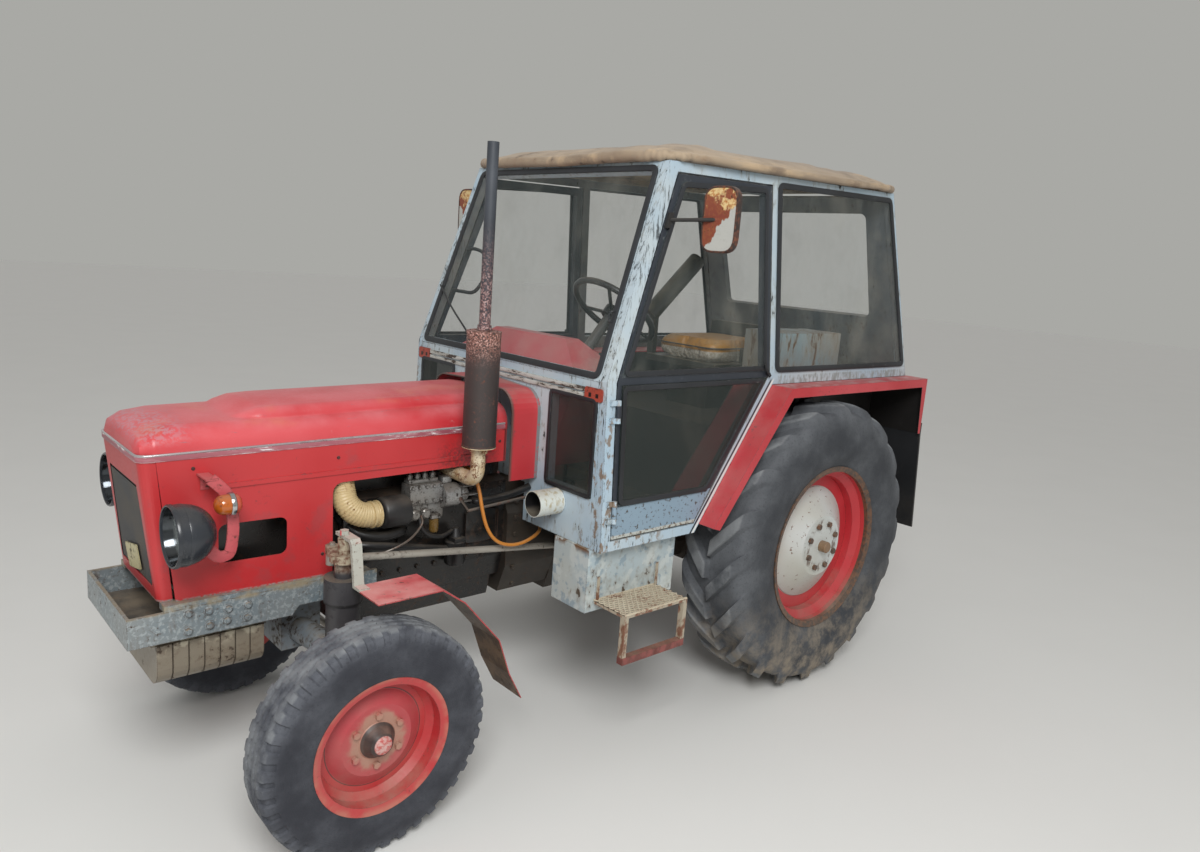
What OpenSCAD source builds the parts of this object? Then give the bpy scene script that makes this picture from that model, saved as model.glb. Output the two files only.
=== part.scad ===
/* [Wheels] */
// Distance between the rear and the front axle
wheelbase = 2170; // [2120:10:2220]
// Rear tyre radius, out to the tips of the lugs
rear_tyre_r = 664; // [650:2:676]
// Rear tyre width across the side walls
rear_tyre_w = 344; // [320:2:360]
// Rear rim radius, over the flanges
rear_rim_r = 378; // [365:1:390]
// Middle of a rear tyre, out from the middle of the tractor
rear_half_track = 636; // [628:1:650]
// Front tyre radius
front_tyre_r = 376; // [366:1:384]
// Front tyre width across the side walls
front_tyre_w = 172; // [160:1:180]
// Front rim radius, over the flanges
front_rim_r = 226; // [218:1:234]
// Middle of a front tyre, out from the middle of the tractor
front_half_track = 628; // [620:1:645]
// Outward lean of the front wheels, in degrees
camber = 2; // [0:0.5:3]

/* [Steering] */
// King pin axis, out from the middle of the tractor
kingpin_y = 415; // [405:1:425]
// King pin radius
kingpin_r = 20; // [16:1:24]
// Radius of the upright sleeve that carries the king pin
sleeve_r = 54; // [48:1:58]
// Length of the upper steering arm, king pin to drag link
drag_arm = 85; // [80:1:90]
// Length of the lower steering arms, king pin to tie rod
tie_arm = 160; // [140:2:180]
// Length of the drop arm on the steering box
drop_arm = 120; // [114:1:122]
// Radius of the drag link and of the tie rod
link_r = 13; // [10:0.5:15]
// Steering wheel radius
wheel_rim_r = 215; // [190:1:230]

/* [Bonnet] */
// Front of the bonnet, ahead of the front axle
bonnet_over = 539; // [520:1:555]
// Rear end of the bonnet, ahead of the rear axle
bonnet_rear = 1450; // [1440:1:1480]
// Height of the joint between the bonnet and the side panels
bonnet_joint_z = 1222; // [1210:1:1235]
// Height of the bonnet's raised middle over that joint
bonnet_rise = 130; // [118:1:143]
// Half the bonnet's width at the nose
nose_half = 212; // [205:1:220]
// Half the bonnet's width at its rear end
bonnet_half = 268; // [260:1:274]
// Thickness of the bonnet and body sheets
sheet = 4; // [3:0.5:5]
// Height of the lower edge of the nose and the side panels
panel_low_z = 768; // [766:1:780]
// Forward slope of the nose from its foot to its top
nose_rake = 48; // [40:1:56]

/* [Front frame] */
// Front face of the bumper tray, ahead of the front axle
bumper_over = 587; // [580:1:605]
// Half the width of the front frame
frame_half = 240; // [234:1:246]
// Height of the top edge of the frame plates
frame_top_z = 756; // [750:1:762]
// Height of the bumper tray and of the frame plates
frame_h = 104; // [96:1:112]
// Number of slab weights under the frame
weight_count = 7; // [5:1:8]

/* [Cab] */
// Half the cab's width at the sill
cab_half = 676; // [670:1:684]
// Inward lean of the cab's sides, in degrees
cab_lean = 2.9; // [2:0.1:3.5]
// Height of the cab's lower edge
sill_z = 846; // [838:1:854]
// Height of the window line
belt_z = 1456; // [1446:1:1466]
// Height of the roof rail at the front
roof_front_z = 2248; // [2240:1:2256]
// Height of the roof rail at the rear
roof_rear_z = 2286; // [2276:1:2296]
// Front face of the cab, ahead of the rear axle
cab_front_x = 1304; // [1300:1:1310]
// Width of the cab's posts
post = 46; // [42:1:50]
// Thickness of the posts and doors
wall = 34; // [30:1:38]
// Thickness of the panes
glass = 5; // [4:0.5:6]
// Gap round each door
door_gap = 6; // [5:0.5:8]
// Height of the roof cover over the roof rail
roof_rise = 112; // [100:1:125]

/* [Rear] */
// Outer edge of the rear wings, out from the middle of the tractor
wing_half = 752; // [740:1:764]
// Height of the rear wings' top plates
wing_z = 1408; // [1400:1:1414]
// Rear end of the lower links, behind the rear axle
link_tip = 885; // [870:1:900]
// Radius of the pin bores in the lower links
link_bore_r = 14.2; // [12:0.1:15]
// Radius of the power take-off shaft
pto_r = 17.4; // [16:0.1:18]
// Radius of the drawbar's pin bore
drawbar_bore_r = 16.5; // [14:0.5:18]

/* [Hidden] */
$fn = 48;

bonnet_front = wheelbase + bonnet_over;
bonnet_top_z = bonnet_joint_z + bonnet_rise;
bumper_front = wheelbase + bumper_over;
// The row's origin is on the ground, halfway between the bumper and the tips of the lower links
x_mid = (bumper_front - link_tip) / 2;
rear_axle_z = rear_tyre_r;
// Half width of the tread, as a share of the tyre's half width
tread_share = 0.62;
// The leaning front tyres touch the ground with their outer shoulders
front_axle_z = front_tyre_r * cos(camber) + tread_share * front_tyre_w / 2 * sin(camber);
running = 0.05;
seat_gap = 0.3;

module placed() {
  translate([-x_mid, 0, 0]) children();
}

// Builds on the left for 1 and mirrors to the right for -1
module on_side(s) {
  mirror([0, s > 0 ? 0 : 1, 0]) children();
}

module both_sides() {
  on_side(1) children();
  on_side(-1) children();
}

// Stands a flat outline drawn in x and z upright, with its thickness going inwards from y = 0
module upright(t) {
  rotate([90, 0, 0]) linear_extrude(t) children();
}

// Extrudes a section drawn in y and z along the tractor, from x0 to x1
module along_x(x0, x1) {
  translate([x0, 0, 0]) rotate([90, 0, 90]) linear_extrude(x1 - x0) children();
}

// A box given by its lowest corner and its highest corner
module block(low, high) {
  translate(low) cube(high - low);
}

// A round bar between two points
module rod_between(a, b, r) {
  d = b - a;
  length = norm(d);
  translate(a) rotate([0, acos(d[2] / length), atan2(d[1], d[0])]) cylinder(h = length, r = r);
}

// A wheel's body of revolution, from points of radius and outward distance
module spun(points) {
  rotate([-90, 0, 0]) rotate_extrude($fn = 96) polygon(points);
}

function arc(cx, cy, r, a0, a1, n) = [for (i = [0 : n]) let (a = a0 + (a1 - a0) * i / n)
  [cx + r * cos(a), cy + r * sin(a)]];

// Rounded rectangle from [x0, y0] to [x1, y1]
module rounded(x0, y0, x1, y1, r) {
  polygon(concat(arc(x1 - r, y1 - r, r, 0, 90, 5), arc(x0 + r, y1 - r, r, 90, 180, 5),
    arc(x0 + r, y0 + r, r, 180, 270, 5), arc(x1 - r, y0 + r, r, 270, 360, 5)));
}

// Tyres
// Share of the section's height, share of the half width
tyre_wall = [[0.2, 0.955], [0.32, 0.99], [0.5, 1], [0.68, 0.975], [0.84, 0.91], [0.95, 0.84]];
bead_share = 0.82;

// One half of the section, from the bead outwards; the bead lies just inside the rim's flange
function tyre_half(r_out, r_rim, half, bead) = let (r_in = r_rim - flange_h + seat_gap) concat(
  [[r_in, bead - 0.4], [r_rim + 1, bead + 5.6], [r_rim + 2.5, bead + 11]],
  [for (p = tyre_wall) [r_in + p[0] * (r_out - r_in), p[1] * half]], [[r_out, tread_share * half]]);

function reversed(list) = [for (i = [len(list) - 1 : -1 : 0]) list[i]];

function tyre_section(r_out, r_rim, half) = let (side = tyre_half(r_out, r_rim, half, bead_share * half))
  concat([for (p = side) [p[0], -p[1]]], reversed(side));

flange_h = 20;
rear_rim_half = rear_tyre_w / 2 * bead_share;
front_rim_half = front_tyre_w / 2 * bead_share;

module rear_tyre(s) {
  color("dimgray") placed() on_side(s) translate([0, rear_half_track, rear_axle_z])
    spun(tyre_section(rear_tyre_r, rear_rim_r, rear_tyre_w / 2));
}

module at_front_hub(s) {
  on_side(s) translate([wheelbase, front_half_track, front_axle_z]) rotate([-camber, 0, 0]) children();
}

module front_tyre(s) {
  color("dimgray") placed() at_front_hub(s)
    spun(tyre_section(front_tyre_r, front_rim_r, front_tyre_w / 2));
}

// Wheels
rim_wall = 6;
// Section of a drop-centre rim: flange, bead seat, well, and back inside
function rim_section(r_rim, half, well_r) = [
  [r_rim, half + 12], [r_rim, half + 6], [r_rim - flange_h, half], [r_rim - flange_h, half - 38],
  [well_r, half - 62], [well_r, 62 - half], [r_rim - flange_h, 38 - half], [r_rim - flange_h, -half],
  [r_rim, -half - 6], [r_rim, -half - 12], [r_rim - flange_h - rim_wall, -half - 4],
  [r_rim - flange_h - rim_wall, 36 - half], [well_r - rim_wall, 60 - half],
  [well_r - rim_wall, half - 60], [r_rim - flange_h - rim_wall, half - 36],
  [r_rim - flange_h - rim_wall, half + 4]];

rear_well_r = rear_rim_r - 52;
rear_dish_r = 262;
rear_hub_face = 124;
// The rear axle shaft's stub turns with the wheel
rear_stub_r = 26;
rear_trumpet_end = rear_half_track - 120;

module rear_rim(s) {
  color("firebrick") placed() on_side(s) translate([0, rear_half_track, rear_axle_z]) {
    difference() {
      union() {
        spun(rim_section(rear_rim_r, rear_rim_half, rear_well_r));
        // Red ring that joins the rim to the dish
        spun([[rear_well_r - 2, 30], [rear_well_r - 2, 44], [rear_dish_r - 6, 44], [rear_dish_r - 6, 30]]);
        // White domed centre
        spun([[rear_dish_r, 28], [rear_dish_r, 50], [205, 84], [140, rear_hub_face],
          [0, rear_hub_face], [0, rear_hub_face - 14], [132, rear_hub_face - 14], [197, 72], [250, 38],
          [250, 28]]);
        // Hub, back to the end of the axle trumpet
        spun([[0, seat_gap - 120], [78, seat_gap - 120], [78, rear_hub_face - 6],
          [0, rear_hub_face - 6]]);
        spun([[0, rear_hub_face - 1], [rear_stub_r, rear_hub_face - 1], [rear_stub_r, 158],
          [rear_stub_r - 5, 163], [0, 163]]);
        for (a = [22.5 : 45 : 337.5])
          rotate([0, a, 0]) translate([104, rear_hub_face - 1, 0]) rotate([-90, 30, 0])
            cylinder(h = 15, r = 14, $fn = 6);
      }
    }
  }
}

front_well_r = front_rim_r - 40;
front_nose = 82;

module front_rim(s) {
  color("firebrick") placed() at_front_hub(s) difference() {
    union() {
      spun(rim_section(front_rim_r, front_rim_half, front_well_r));
      // Dished disc
      spun([[front_well_r - 2, 4], [front_well_r - 2, 12], [158, 12], [118, 34], [58, 34], [58, 26],
        [114, 26], [154, 4]]);
      // Hub and its conical cap
      spun([[0, -48], [46, -48], [54, -30], [54, 26], [62, 34], [52, 44], [38, 68], [26, front_nose - 4],
        [14, front_nose], [0, front_nose]]);
      for (a = [30 : 60 : 330])
        rotate([0, a, 0]) translate([84, 33, 0]) rotate([-90, 0, 0]) cylinder(h = 12, r = 12, $fn = 6);
    }
    rotate([-90, 0, 0]) translate([0, 0, -60]) cylinder(h = 84, r = spindle_r + running);
  }
}

// Front axle and steering
spindle_r = 22;
sleeve_low_z = 500;
sleeve_step_z = 828;
sleeve_high_z = 879;
neck_r = 30;
beam_z = 548;
beam_r = 44;

module front_axle() {
  color("lightgray") placed() difference() {
    union() {
      both_sides() {
        rod_between([wheelbase, -1, beam_z - 34], [wheelbase, kingpin_y, beam_z + 14], beam_r);
        translate([wheelbase, kingpin_y, sleeve_low_z]) cylinder(h = sleeve_step_z - sleeve_low_z, r = sleeve_r);
        translate([wheelbase, kingpin_y, 746]) cylinder(h = sleeve_step_z - 746, r = sleeve_r + 7);
        translate([wheelbase, kingpin_y, sleeve_low_z]) cylinder(h = sleeve_high_z - sleeve_low_z, r = neck_r);
      }
      // Pivot block under the frame
      block([wheelbase - 70, -95, beam_z - 88], [wheelbase + 70, 95, frame_top_z - frame_h - seat_gap]);
    }
    both_sides() translate([wheelbase, kingpin_y, 400]) cylinder(h = 600, r = kingpin_r + running);
  }
}

arm_z = sleeve_high_z + 1;
arm_t = 26;
tie_z = 452;
ball_y = kingpin_y - drag_arm;
link_z = arm_z - 20;
// Top of the king pin, where the front wing's strap is bolted
kingpin_top_z = 956;

module knuckle(s) {
  color("slategray") placed() on_side(s) {
    difference() {
      union() {
        translate([wheelbase, kingpin_y, front_axle_z - 50]) cylinder(h = kingpin_top_z - front_axle_z + 50, r = kingpin_r);
        // Lower boss with the stub axle
        translate([wheelbase, kingpin_y, front_axle_z - 52]) cylinder(h = sleeve_low_z - 1 - front_axle_z + 52, r = 44);
        // Lower steering arm, straight back to the tie rod
        hull() {
          translate([wheelbase, kingpin_y, tie_z - 34]) cylinder(h = 20, r = 34, $fn = 32);
          translate([wheelbase - tie_arm, kingpin_y, tie_z - 34]) cylinder(h = 20, r = 24, $fn = 32);
        }
        // Upper steering arm
        translate([wheelbase, kingpin_y, arm_z]) cylinder(h = arm_t, r = 44);
        hull() {
          translate([wheelbase, kingpin_y, arm_z]) cylinder(h = arm_t, r = 32, $fn = 32);
          translate([wheelbase, ball_y, arm_z]) cylinder(h = arm_t, r = 22, $fn = 32);
        }
      }
      translate([wheelbase - tie_arm, kingpin_y, tie_z - 60]) cylinder(h = 80, r = 9 + running);
      translate([wheelbase, ball_y, arm_z - 10]) cylinder(h = arm_t + 20, r = 9 + running);
    }
    // Stub axle
    translate([wheelbase, front_half_track, front_axle_z]) rotate([-camber, 0, 0]) rotate([90, 0, 0])
      translate([0, 0, -22]) cylinder(h = front_half_track - kingpin_y + 22, r = spindle_r);
  }
}

drag_rear = [1100, 240, 700];
drop_arm_y = 204;
drop_arm_t = 14;

drop_pivot = [drag_rear[0], drop_arm_y, drag_rear[2] + drop_arm];
drop_shaft_r = 11;

module drag_link() {
  color("silver") placed() {
    // Rod end under the steering arm, with its stud
    translate([wheelbase, ball_y, link_z - 18]) cylinder(h = 37, r = 20);
    translate([wheelbase, ball_y, arm_z - 2]) cylinder(h = arm_t + 12, r = 9);
    rod_between([wheelbase, ball_y, link_z], drag_rear, link_r);
    translate(drag_rear) rotate([90, 0, 0]) translate([0, 0, -15]) cylinder(h = 30, r = 24);
  }
}

module drop_arm_link() {
  color("slategray") placed() {
    difference() {
      hull() {
        translate(drop_pivot) rotate([-90, 0, 0]) cylinder(h = drop_arm_t, r = 16, $fn = 32);
        translate([drop_pivot[0], drop_pivot[1], drag_rear[2]]) rotate([-90, 0, 0])
          cylinder(h = drop_arm_t, r = 16, $fn = 32);
      }
      translate(drop_pivot) rotate([-90, 0, 0]) translate([0, 0, -2]) cylinder(h = 30, r = drop_shaft_r + running);
    }
    // Stud towards the drag link's eye
    translate([drop_pivot[0], drop_pivot[1] + drop_arm_t - 1, drag_rear[2]]) rotate([-90, 0, 0])
      cylinder(h = drag_rear[1] - 15.6 - drop_pivot[1] - drop_arm_t + 1, r = 11);
  }
}

module tie_rod() {
  color("slategray") placed() {
    rod_between([wheelbase - tie_arm, -kingpin_y, tie_z], [wheelbase - tie_arm, kingpin_y, tie_z], link_r);
    both_sides() translate([wheelbase - tie_arm, kingpin_y, tie_z - 13.7]) {
      cylinder(h = 30, r = 19);
      translate([0, 0, -22]) cylinder(h = 24, r = 9);
    }
  }
}

// Front wings, carried by the steering arms
wing_low_r = front_tyre_r + 68;
front_wing_out = 665;
front_wing_w = 168;
// Degrees back from the top of the wheel, and how far the wing stands out there
front_wing_path = [[-1.2, 0], [26, 50], [38, 44], [64, 52], [80.6, 58], [92.7, 110]];

function wing_points(out) = [for (p = front_wing_path)
  [wheelbase - (wing_low_r + p[1] + out) * sin(p[0]), front_axle_z + (wing_low_r + p[1] + out) * cos(p[0])]];

module front_fender(s) {
  color("firebrick") placed() on_side(s) {
    translate([0, front_wing_out, 0]) upright(front_wing_w) polygon(concat(wing_points(0), reversed(wing_points(-sheet))));
    // Strap from the top of the king pin down to the wing
    strap_z = kingpin_top_z + seat_gap;
    strap_foot = front_axle_z + wing_low_r - 4;
    strap_y = front_wing_out - front_wing_w;
    translate([wheelbase, 0, 0]) along_x(-26, 9) polygon([[kingpin_y - 44, strap_z], [strap_y - 34, strap_z],
      [strap_y - 24, strap_z - 12], [strap_y - 2, strap_foot], [strap_y + 44, strap_foot], [strap_y + 44, strap_foot + 9],
      [strap_y + 8, strap_foot + 9], [strap_y - 14, strap_z - 2], [strap_y - 28, strap_z + 11], [kingpin_y - 44, strap_z + 11]]);
    translate([wheelbase, kingpin_y, strap_z + 10]) cylinder(h = 16, r = 15, $fn = 6);
  }
}

engine_rear = 1372;
engine_front = wheelbase - 114;
engine_half = 172;

// Front frame, bumper tray and weights
plate_t = 12;
tray_rear = bumper_front - 197;
frame_cross_x = wheelbase - 58;
// The frame plates end this far behind the engine's front, and step down ahead of the axle
plate_rear = engine_front - 96;
plate_step = wheelbase + 70;
frame_low_z = frame_top_z - frame_h;

module front_frame() {
  color("lightgray") placed() {
    both_sides() {
      translate([0, frame_half, 0]) upright(plate_t) polygon([[bumper_front, frame_low_z],
        [bumper_front, frame_top_z - 10], [plate_step - 35, frame_top_z], [plate_rear, frame_top_z],
        [plate_rear, frame_low_z + 30], [plate_step, frame_low_z + 30], [plate_step + 22, frame_low_z]]);
    }
    // Bumper tray, open on top
    difference() {
      block([tray_rear, -frame_half + 1, frame_low_z], [bumper_front, frame_half - 1, frame_top_z - 10]);
      block([tray_rear - 1, -frame_half + plate_t - 1, frame_low_z + 8],
        [bumper_front - 10, frame_half - plate_t + 1, frame_top_z + 10]);
    }
    // Cross members
    block([frame_cross_x, -frame_half + 2, frame_low_z + 32], [plate_step + 50, frame_half - 2, frame_low_z + 60]);
    block([frame_cross_x, -90, frame_low_z], [wheelbase + 60, 90, frame_low_z + 40]);
    both_sides() {
      // Feet that bolt the plates to the engine
      block([plate_rear + 12, engine_half + seat_gap, frame_low_z + 40], [engine_front - 12, frame_half - 1, frame_top_z - 6]);
      // Rail under the nose and the side panels
      block([frame_cross_x, frame_half - 46, frame_top_z - 8], [nose_low_x - 6, frame_half - 2, panel_low_z - seat_gap]);
    }
    // Shelf for the radiator
    block([radiator_x[0] - 16, -frame_half + 2, frame_top_z - 14], [radiator_x[1] + 16, frame_half - 2, frame_top_z]);
  }
}

weight_front = bumper_front - 89;
weight_pitch = 47;
weight_t = 44;
weight_low_z = 488;

module front_weights() {
  color("silver") placed() {
    for (i = [0 : weight_count - 1])
      along_x(weight_front - (i + 1) * weight_pitch + (weight_pitch - weight_t), weight_front - i * weight_pitch)
        polygon(concat([[204, frame_low_z - 24], [204, weight_low_z + 60]],
          arc(144, weight_low_z + 60, 60, 0, -90, 5), arc(-144, weight_low_z + 60, 60, -90, -180, 5),
          [[-204, weight_low_z + 60], [-204, frame_low_z - 24]]));
    // Carrier rails that hang the slabs from the frame
    both_sides() block([weight_front - weight_count * weight_pitch - 6, 150, frame_low_z - 26],
      [weight_front + 14, 196, frame_low_z - seat_gap]);
  }
}

// Nose, grille and side panels
radiator_x = [bonnet_front - 209, bonnet_front - 149];
nose_low_x = bonnet_front - nose_rake;
seam_depth = 44;
joint_gap = 0.5;

// Plan of the nose at one height: its front, half width and how far back it goes
module nose_plan(front, half, depth, r) {
  polygon(concat(arc(front - r, half - r, r, 90, 0, 6), arc(front - r, r - half, r, 0, -90, 6),
    [[front - depth, -half], [front - depth, half]]));
}

module nose_form(inset, z0, z1) {
  hull() {
    translate([-inset, 0, z0]) linear_extrude(0.1) nose_plan(nose_low_x, nose_half - 10 - inset, 90, 24 - inset);
    translate([-inset, 0, z1 - 0.1]) linear_extrude(0.1) nose_plan(bonnet_front, nose_half - inset, 90, 30 - inset);
  }
}

grille_z = [panel_low_z + 38, bonnet_joint_z - 94];

module grille_outline() {
  polygon([[-162, grille_z[0]], [-169, grille_z[0] + 20], [-150, grille_z[1]], [150, grille_z[1]], [169, grille_z[0] + 20],
    [162, grille_z[0]]]);
}

module grille_housing() {
  color("firebrick") placed() difference() {
    nose_form(0, panel_low_z, bonnet_joint_z - joint_gap);
    nose_form(sheet, panel_low_z - 5, bonnet_joint_z - joint_gap + 5);
    // Opening for the grille
    along_x(radiator_x[1], bonnet_front + 50) grille_outline();
    // Rear end, cut parallel to the raked front
    upright_cut = [[nose_low_x - seam_depth, panel_low_z - 20], [bonnet_front - seam_depth, bonnet_joint_z + 20],
      [radiator_x[0], bonnet_joint_z + 20], [radiator_x[0], panel_low_z - 20]];
    translate([0, 400, 0]) upright(800) polygon(upright_cut);
  }
}

grille_back = 8;

module grille() {
  color("dimgray") placed() {
    rake = atan(nose_rake / (bonnet_joint_z - panel_low_z));
    bars = 9;
    // Frame behind the opening, with flat bars across it
    translate([nose_low_x - sheet - seat_gap, 0, panel_low_z]) rotate([0, rake, 0]) {
      difference() {
        translate([-grille_back, -177, 24]) cube([grille_back, 354, 344]);
        translate([-grille_back - 1, -168, 40]) cube([grille_back + 2, 336, 312]);
      }
      for (i = [1 : bars - 1])
        translate([-grille_back, -169, 40 + 312 * i / bars - 3]) cube([grille_back - 2, 338, 6]);
      for (i = [-4 : 4])
        translate([-grille_back + 1, i * 37 - 2, 39]) cube([grille_back - 3, 4, 314]);
    }
  }
}

panel_turn = atan((bonnet_half - nose_half) / (bonnet_front - bonnet_rear));
// Outer face of the side panel at a distance ahead of the rear axle
function panel_y(x) = nose_half + (bonnet_front - x) * tan(panel_turn);
strip_low_z = 1102;
bay_front = wheelbase - 46;
// Rounded opening in the panel, behind the nose
panel_window = [[bonnet_front - 431, panel_low_z + 100], [bonnet_front - 219, panel_low_z + 224]];

module side_panel_outline() {
  difference() {
    polygon(concat([[nose_low_x - seam_depth - 2, panel_low_z], [bonnet_front - seam_depth - 2, bonnet_joint_z - joint_gap],
      [bonnet_rear, bonnet_joint_z - joint_gap], [bonnet_rear, strip_low_z]],
      arc(bay_front - 32, strip_low_z - 50, 34, 90, 0, 5), [[bay_front, panel_low_z]]));
    rounded(panel_window[0][0], panel_window[0][1], panel_window[1][0], panel_window[1][1], 24);
  }
}

module side_panels() {
  color("firebrick") placed() both_sides()
    translate([bonnet_front, nose_half, 0]) rotate([0, 0, -panel_turn]) translate([-bonnet_front, 0, 0]) {
      upright(sheet) side_panel_outline();
      // Pressed rib
      translate([0, 5, 0]) upright(6) polygon([[bonnet_front - 239, strip_low_z + 6],
        [bonnet_front - 239, strip_low_z + 20], [bonnet_rear + 50, strip_low_z + 40], [bonnet_rear + 50, strip_low_z + 26]]);
    }
}

// Bonnet
// x, half width, top height and shoulder radius of each cross section
bonnet_sections = [
  [bonnet_front, nose_half - 42, bonnet_joint_z + 34, 26],
  [bonnet_front - 10, nose_half - 16, bonnet_joint_z + 58, 44],
  [bonnet_front - 46, nose_half, bonnet_joint_z + 80, 60],
  [bonnet_front - 120, nose_half + 5, bonnet_joint_z + 92, 70],
  [bonnet_rear, bonnet_half, bonnet_joint_z + 104, 76]];
bulge_half = 176;
bulge_front = bonnet_front - 269;

function bonnet_outline(half, top, r, low) = concat([[half, low]],
  arc(half - r, top - 8 - r, r, 0, 78, 6), [[0, top]], arc(r - half, top - 8 - r, r, 102, 180, 6), [[-half, low]]);

module bonnet_form(inset, low) {
  hull() for (c = bonnet_sections)
    translate([c[0] - inset, 0, 0]) rotate([90, 0, 90]) linear_extrude(0.1)
      polygon(bonnet_outline(c[1] - inset, c[2] - inset, max(c[3] - inset, 6), low));
}

module bulge_form(inset, low) {
  hull() {
    translate([bulge_front - inset, 0, 0]) rotate([90, 0, 90]) linear_extrude(0.1)
      polygon(bonnet_outline(bulge_half - 40 - inset, bonnet_joint_z + 90 - inset, 24, low));
    translate([bulge_front - 90 - inset, 0, 0]) rotate([90, 0, 90]) linear_extrude(0.1)
      polygon(bonnet_outline(bulge_half - inset, bonnet_top_z - 4 - inset, 44, low));
    translate([bonnet_rear - inset, 0, 0]) rotate([90, 0, 90]) linear_extrude(0.1)
      polygon(bonnet_outline(bulge_half + 16 - inset, bonnet_top_z + 8 - inset, 50, low));
  }
}

module hood() {
  color("firebrick") placed() difference() {
    union() {
      bonnet_form(0, bonnet_joint_z);
      bulge_form(0, bonnet_joint_z + 40);
    }
    bonnet_form(sheet, bonnet_joint_z - 10);
    bulge_form(sheet, bonnet_joint_z + 30);
  }
}

// Cowl behind the bonnet, and its hump inside the cab
cowl_front = bonnet_rear - 10;

hoop_half = bonnet_half + 14;
hoop_top = bonnet_top_z + 26;
dash_rear = 1010;

module cowl() {
  color("firebrick") placed() {
    // Hoop between the bonnet and the cab's front wall
    difference() {
      along_x(cab_front_x + seat_gap, cowl_front) polygon(bonnet_outline(hoop_half, hoop_top, 90, 1022));
      along_x(cab_front_x - 10, cowl_front + 10)
        polygon(bonnet_outline(hoop_half - sheet, hoop_top - sheet, 90 - sheet, 1010));
    }
    // Instrument housing inside the cab
    hull() {
      block([dash_rear, -280, 1060], [cab_front_x - wall - seat_gap, 280, 1400]);
      block([dash_rear, -430, 1400], [cab_front_x - wall - seat_gap, 430, 1440]);
      block([1100, -236, 1558], [1166, 236, 1560]);
    }
  }
}

// Engine and drive line
module engine() {
  color("dimgray") placed() {
    along_x(engine_rear, engine_front) polygon([[-150, 600], [-engine_half, 690],
      [-engine_half, 996], [-118, 1010], [-112, 1104], [-60, 1160], [60, 1160], [112, 1104], [118, 1010],
      [engine_half, 996], [engine_half, 690], [150, 600]]);
    along_x(engine_rear + 30, engine_front - 20) polygon([[-140, 601], [140, 601], [118, 508], [-118, 508]]);
    block([engine_front - 1, -130, 664], [engine_front + 44, 130, 960]);
  }
}

pump_rear = engine_front - 366;

module engine_fittings() {
  color("silver") placed() {
    seat = engine_half + seat_gap;
    // Injection pump with its governor
    block([pump_rear, seat, 905], [pump_rear + 226, seat + 64, 985]);
    translate([pump_rear + 1, seat + 36, 940]) rotate([0, -90, 0]) cylinder(h = 46, r = 36);
    for (i = [0 : 3]) translate([pump_rear + 30 + i * 50, seat + 32, 984]) cylinder(h = 46, r = 13);
    // Filter bowls under their bracket
    for (x = [pump_rear + 110, pump_rear + 222]) translate([x, seat + 42, 700]) cylinder(h = 120, r = 40);
    block([pump_rear + 70, seat, 819], [pump_rear + 266, seat + 74, 850]);
  }
}

intake_x = engine_front - 64;

module air_intake() {
  color("dimgray") placed() {
    translate([intake_x, engine_half + 68, 930]) cylinder(h = 130, r = 62);
    block([intake_x - 32, engine_half + seat_gap, 950], [intake_x + 32, engine_half + 20, 986]);
  }
}

module radiator() {
  color("dimgray") placed() block([radiator_x[0], -176, frame_top_z + seat_gap], [radiator_x[1], 176, bonnet_joint_z - 26]);
}

module transmission() {
  color("saddlebrown") placed() difference() {
    union() {
      // Clutch housing, gearbox and rear axle housing
      along_x(1120, engine_rear - seat_gap) polygon([[-150, 520], [-196, 640], [-196, 860], [-130, 980], [130, 980],
        [196, 860], [196, 640], [150, 520]]);
      along_x(260, 1121) polygon([[-140, 480], [-170, 560], [-170, 800], [-120, gearbox_top], [120, gearbox_top],
        [170, 800], [170, 560], [140, 480]]);
      along_x(-260, 261) polygon([[-160, 460], [-200, 560], [-200, 790], [-150, gearbox_top], [150, gearbox_top],
        [200, 790], [200, 560], [160, 460]]);
      // Axle trumpets
      both_sides() {
        translate([0, 190, rear_axle_z]) rotate([-90, 0, 0]) cylinder(h = rear_trumpet_end - 190, r1 = 118, r2 = 84);
        translate([0, rear_trumpet_end - 26, rear_axle_z]) rotate([-90, 0, 0]) cylinder(h = 26, r = 108);
      }
      // Power take-off housing and shaft
      translate([-259, 0, 596]) rotate([0, -90, 0]) cylinder(h = 30, r = 62);
      translate([-280, 0, 596]) rotate([0, -90, 0]) cylinder(h = 95, r = pto_r);
      // Steering box with the drop arm's shaft
      block([drag_rear[0] - 60, 150, drop_pivot[2] - 40], [drag_rear[0] + 52, drop_arm_y - 1, drop_pivot[2] + 12]);
      translate([drop_pivot[0], drop_arm_y - 2, drop_pivot[2]]) rotate([-90, 0, 0])
        cylinder(h = drop_arm_t + 5, r = drop_shaft_r);
      // Pins for the lower links and the lift arms
      both_sides() {
        translate([lower_pivot[0], 150, lower_pivot[1]]) rotate([-90, 0, 0]) cylinder(h = lower_y - 126, r = 15);
        translate([lower_pivot[0], 190, lift_z]) rotate([-90, 0, 0]) cylinder(h = 48, r = 22);
      }
      // Lift housing under the platform
      block([-230, -136, gearbox_top - 1], [250, 136, platform_z - floor_t - 40]);
      // Top link bracket
      both_sides() block([-330, 26, 700], [-255, 40, 790]);
    }
    translate([-305, 60, 745]) rotate([90, 0, 0]) cylinder(h = 120, r = 12.8);
  }
}

// Steering column and wheel
column_foot = [984, 0, 1318];
wheel_centre = [700, 0, 1655];
column_way = (wheel_centre - column_foot) / norm(wheel_centre - column_foot);
column_tilt = acos(column_way[2]);

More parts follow.
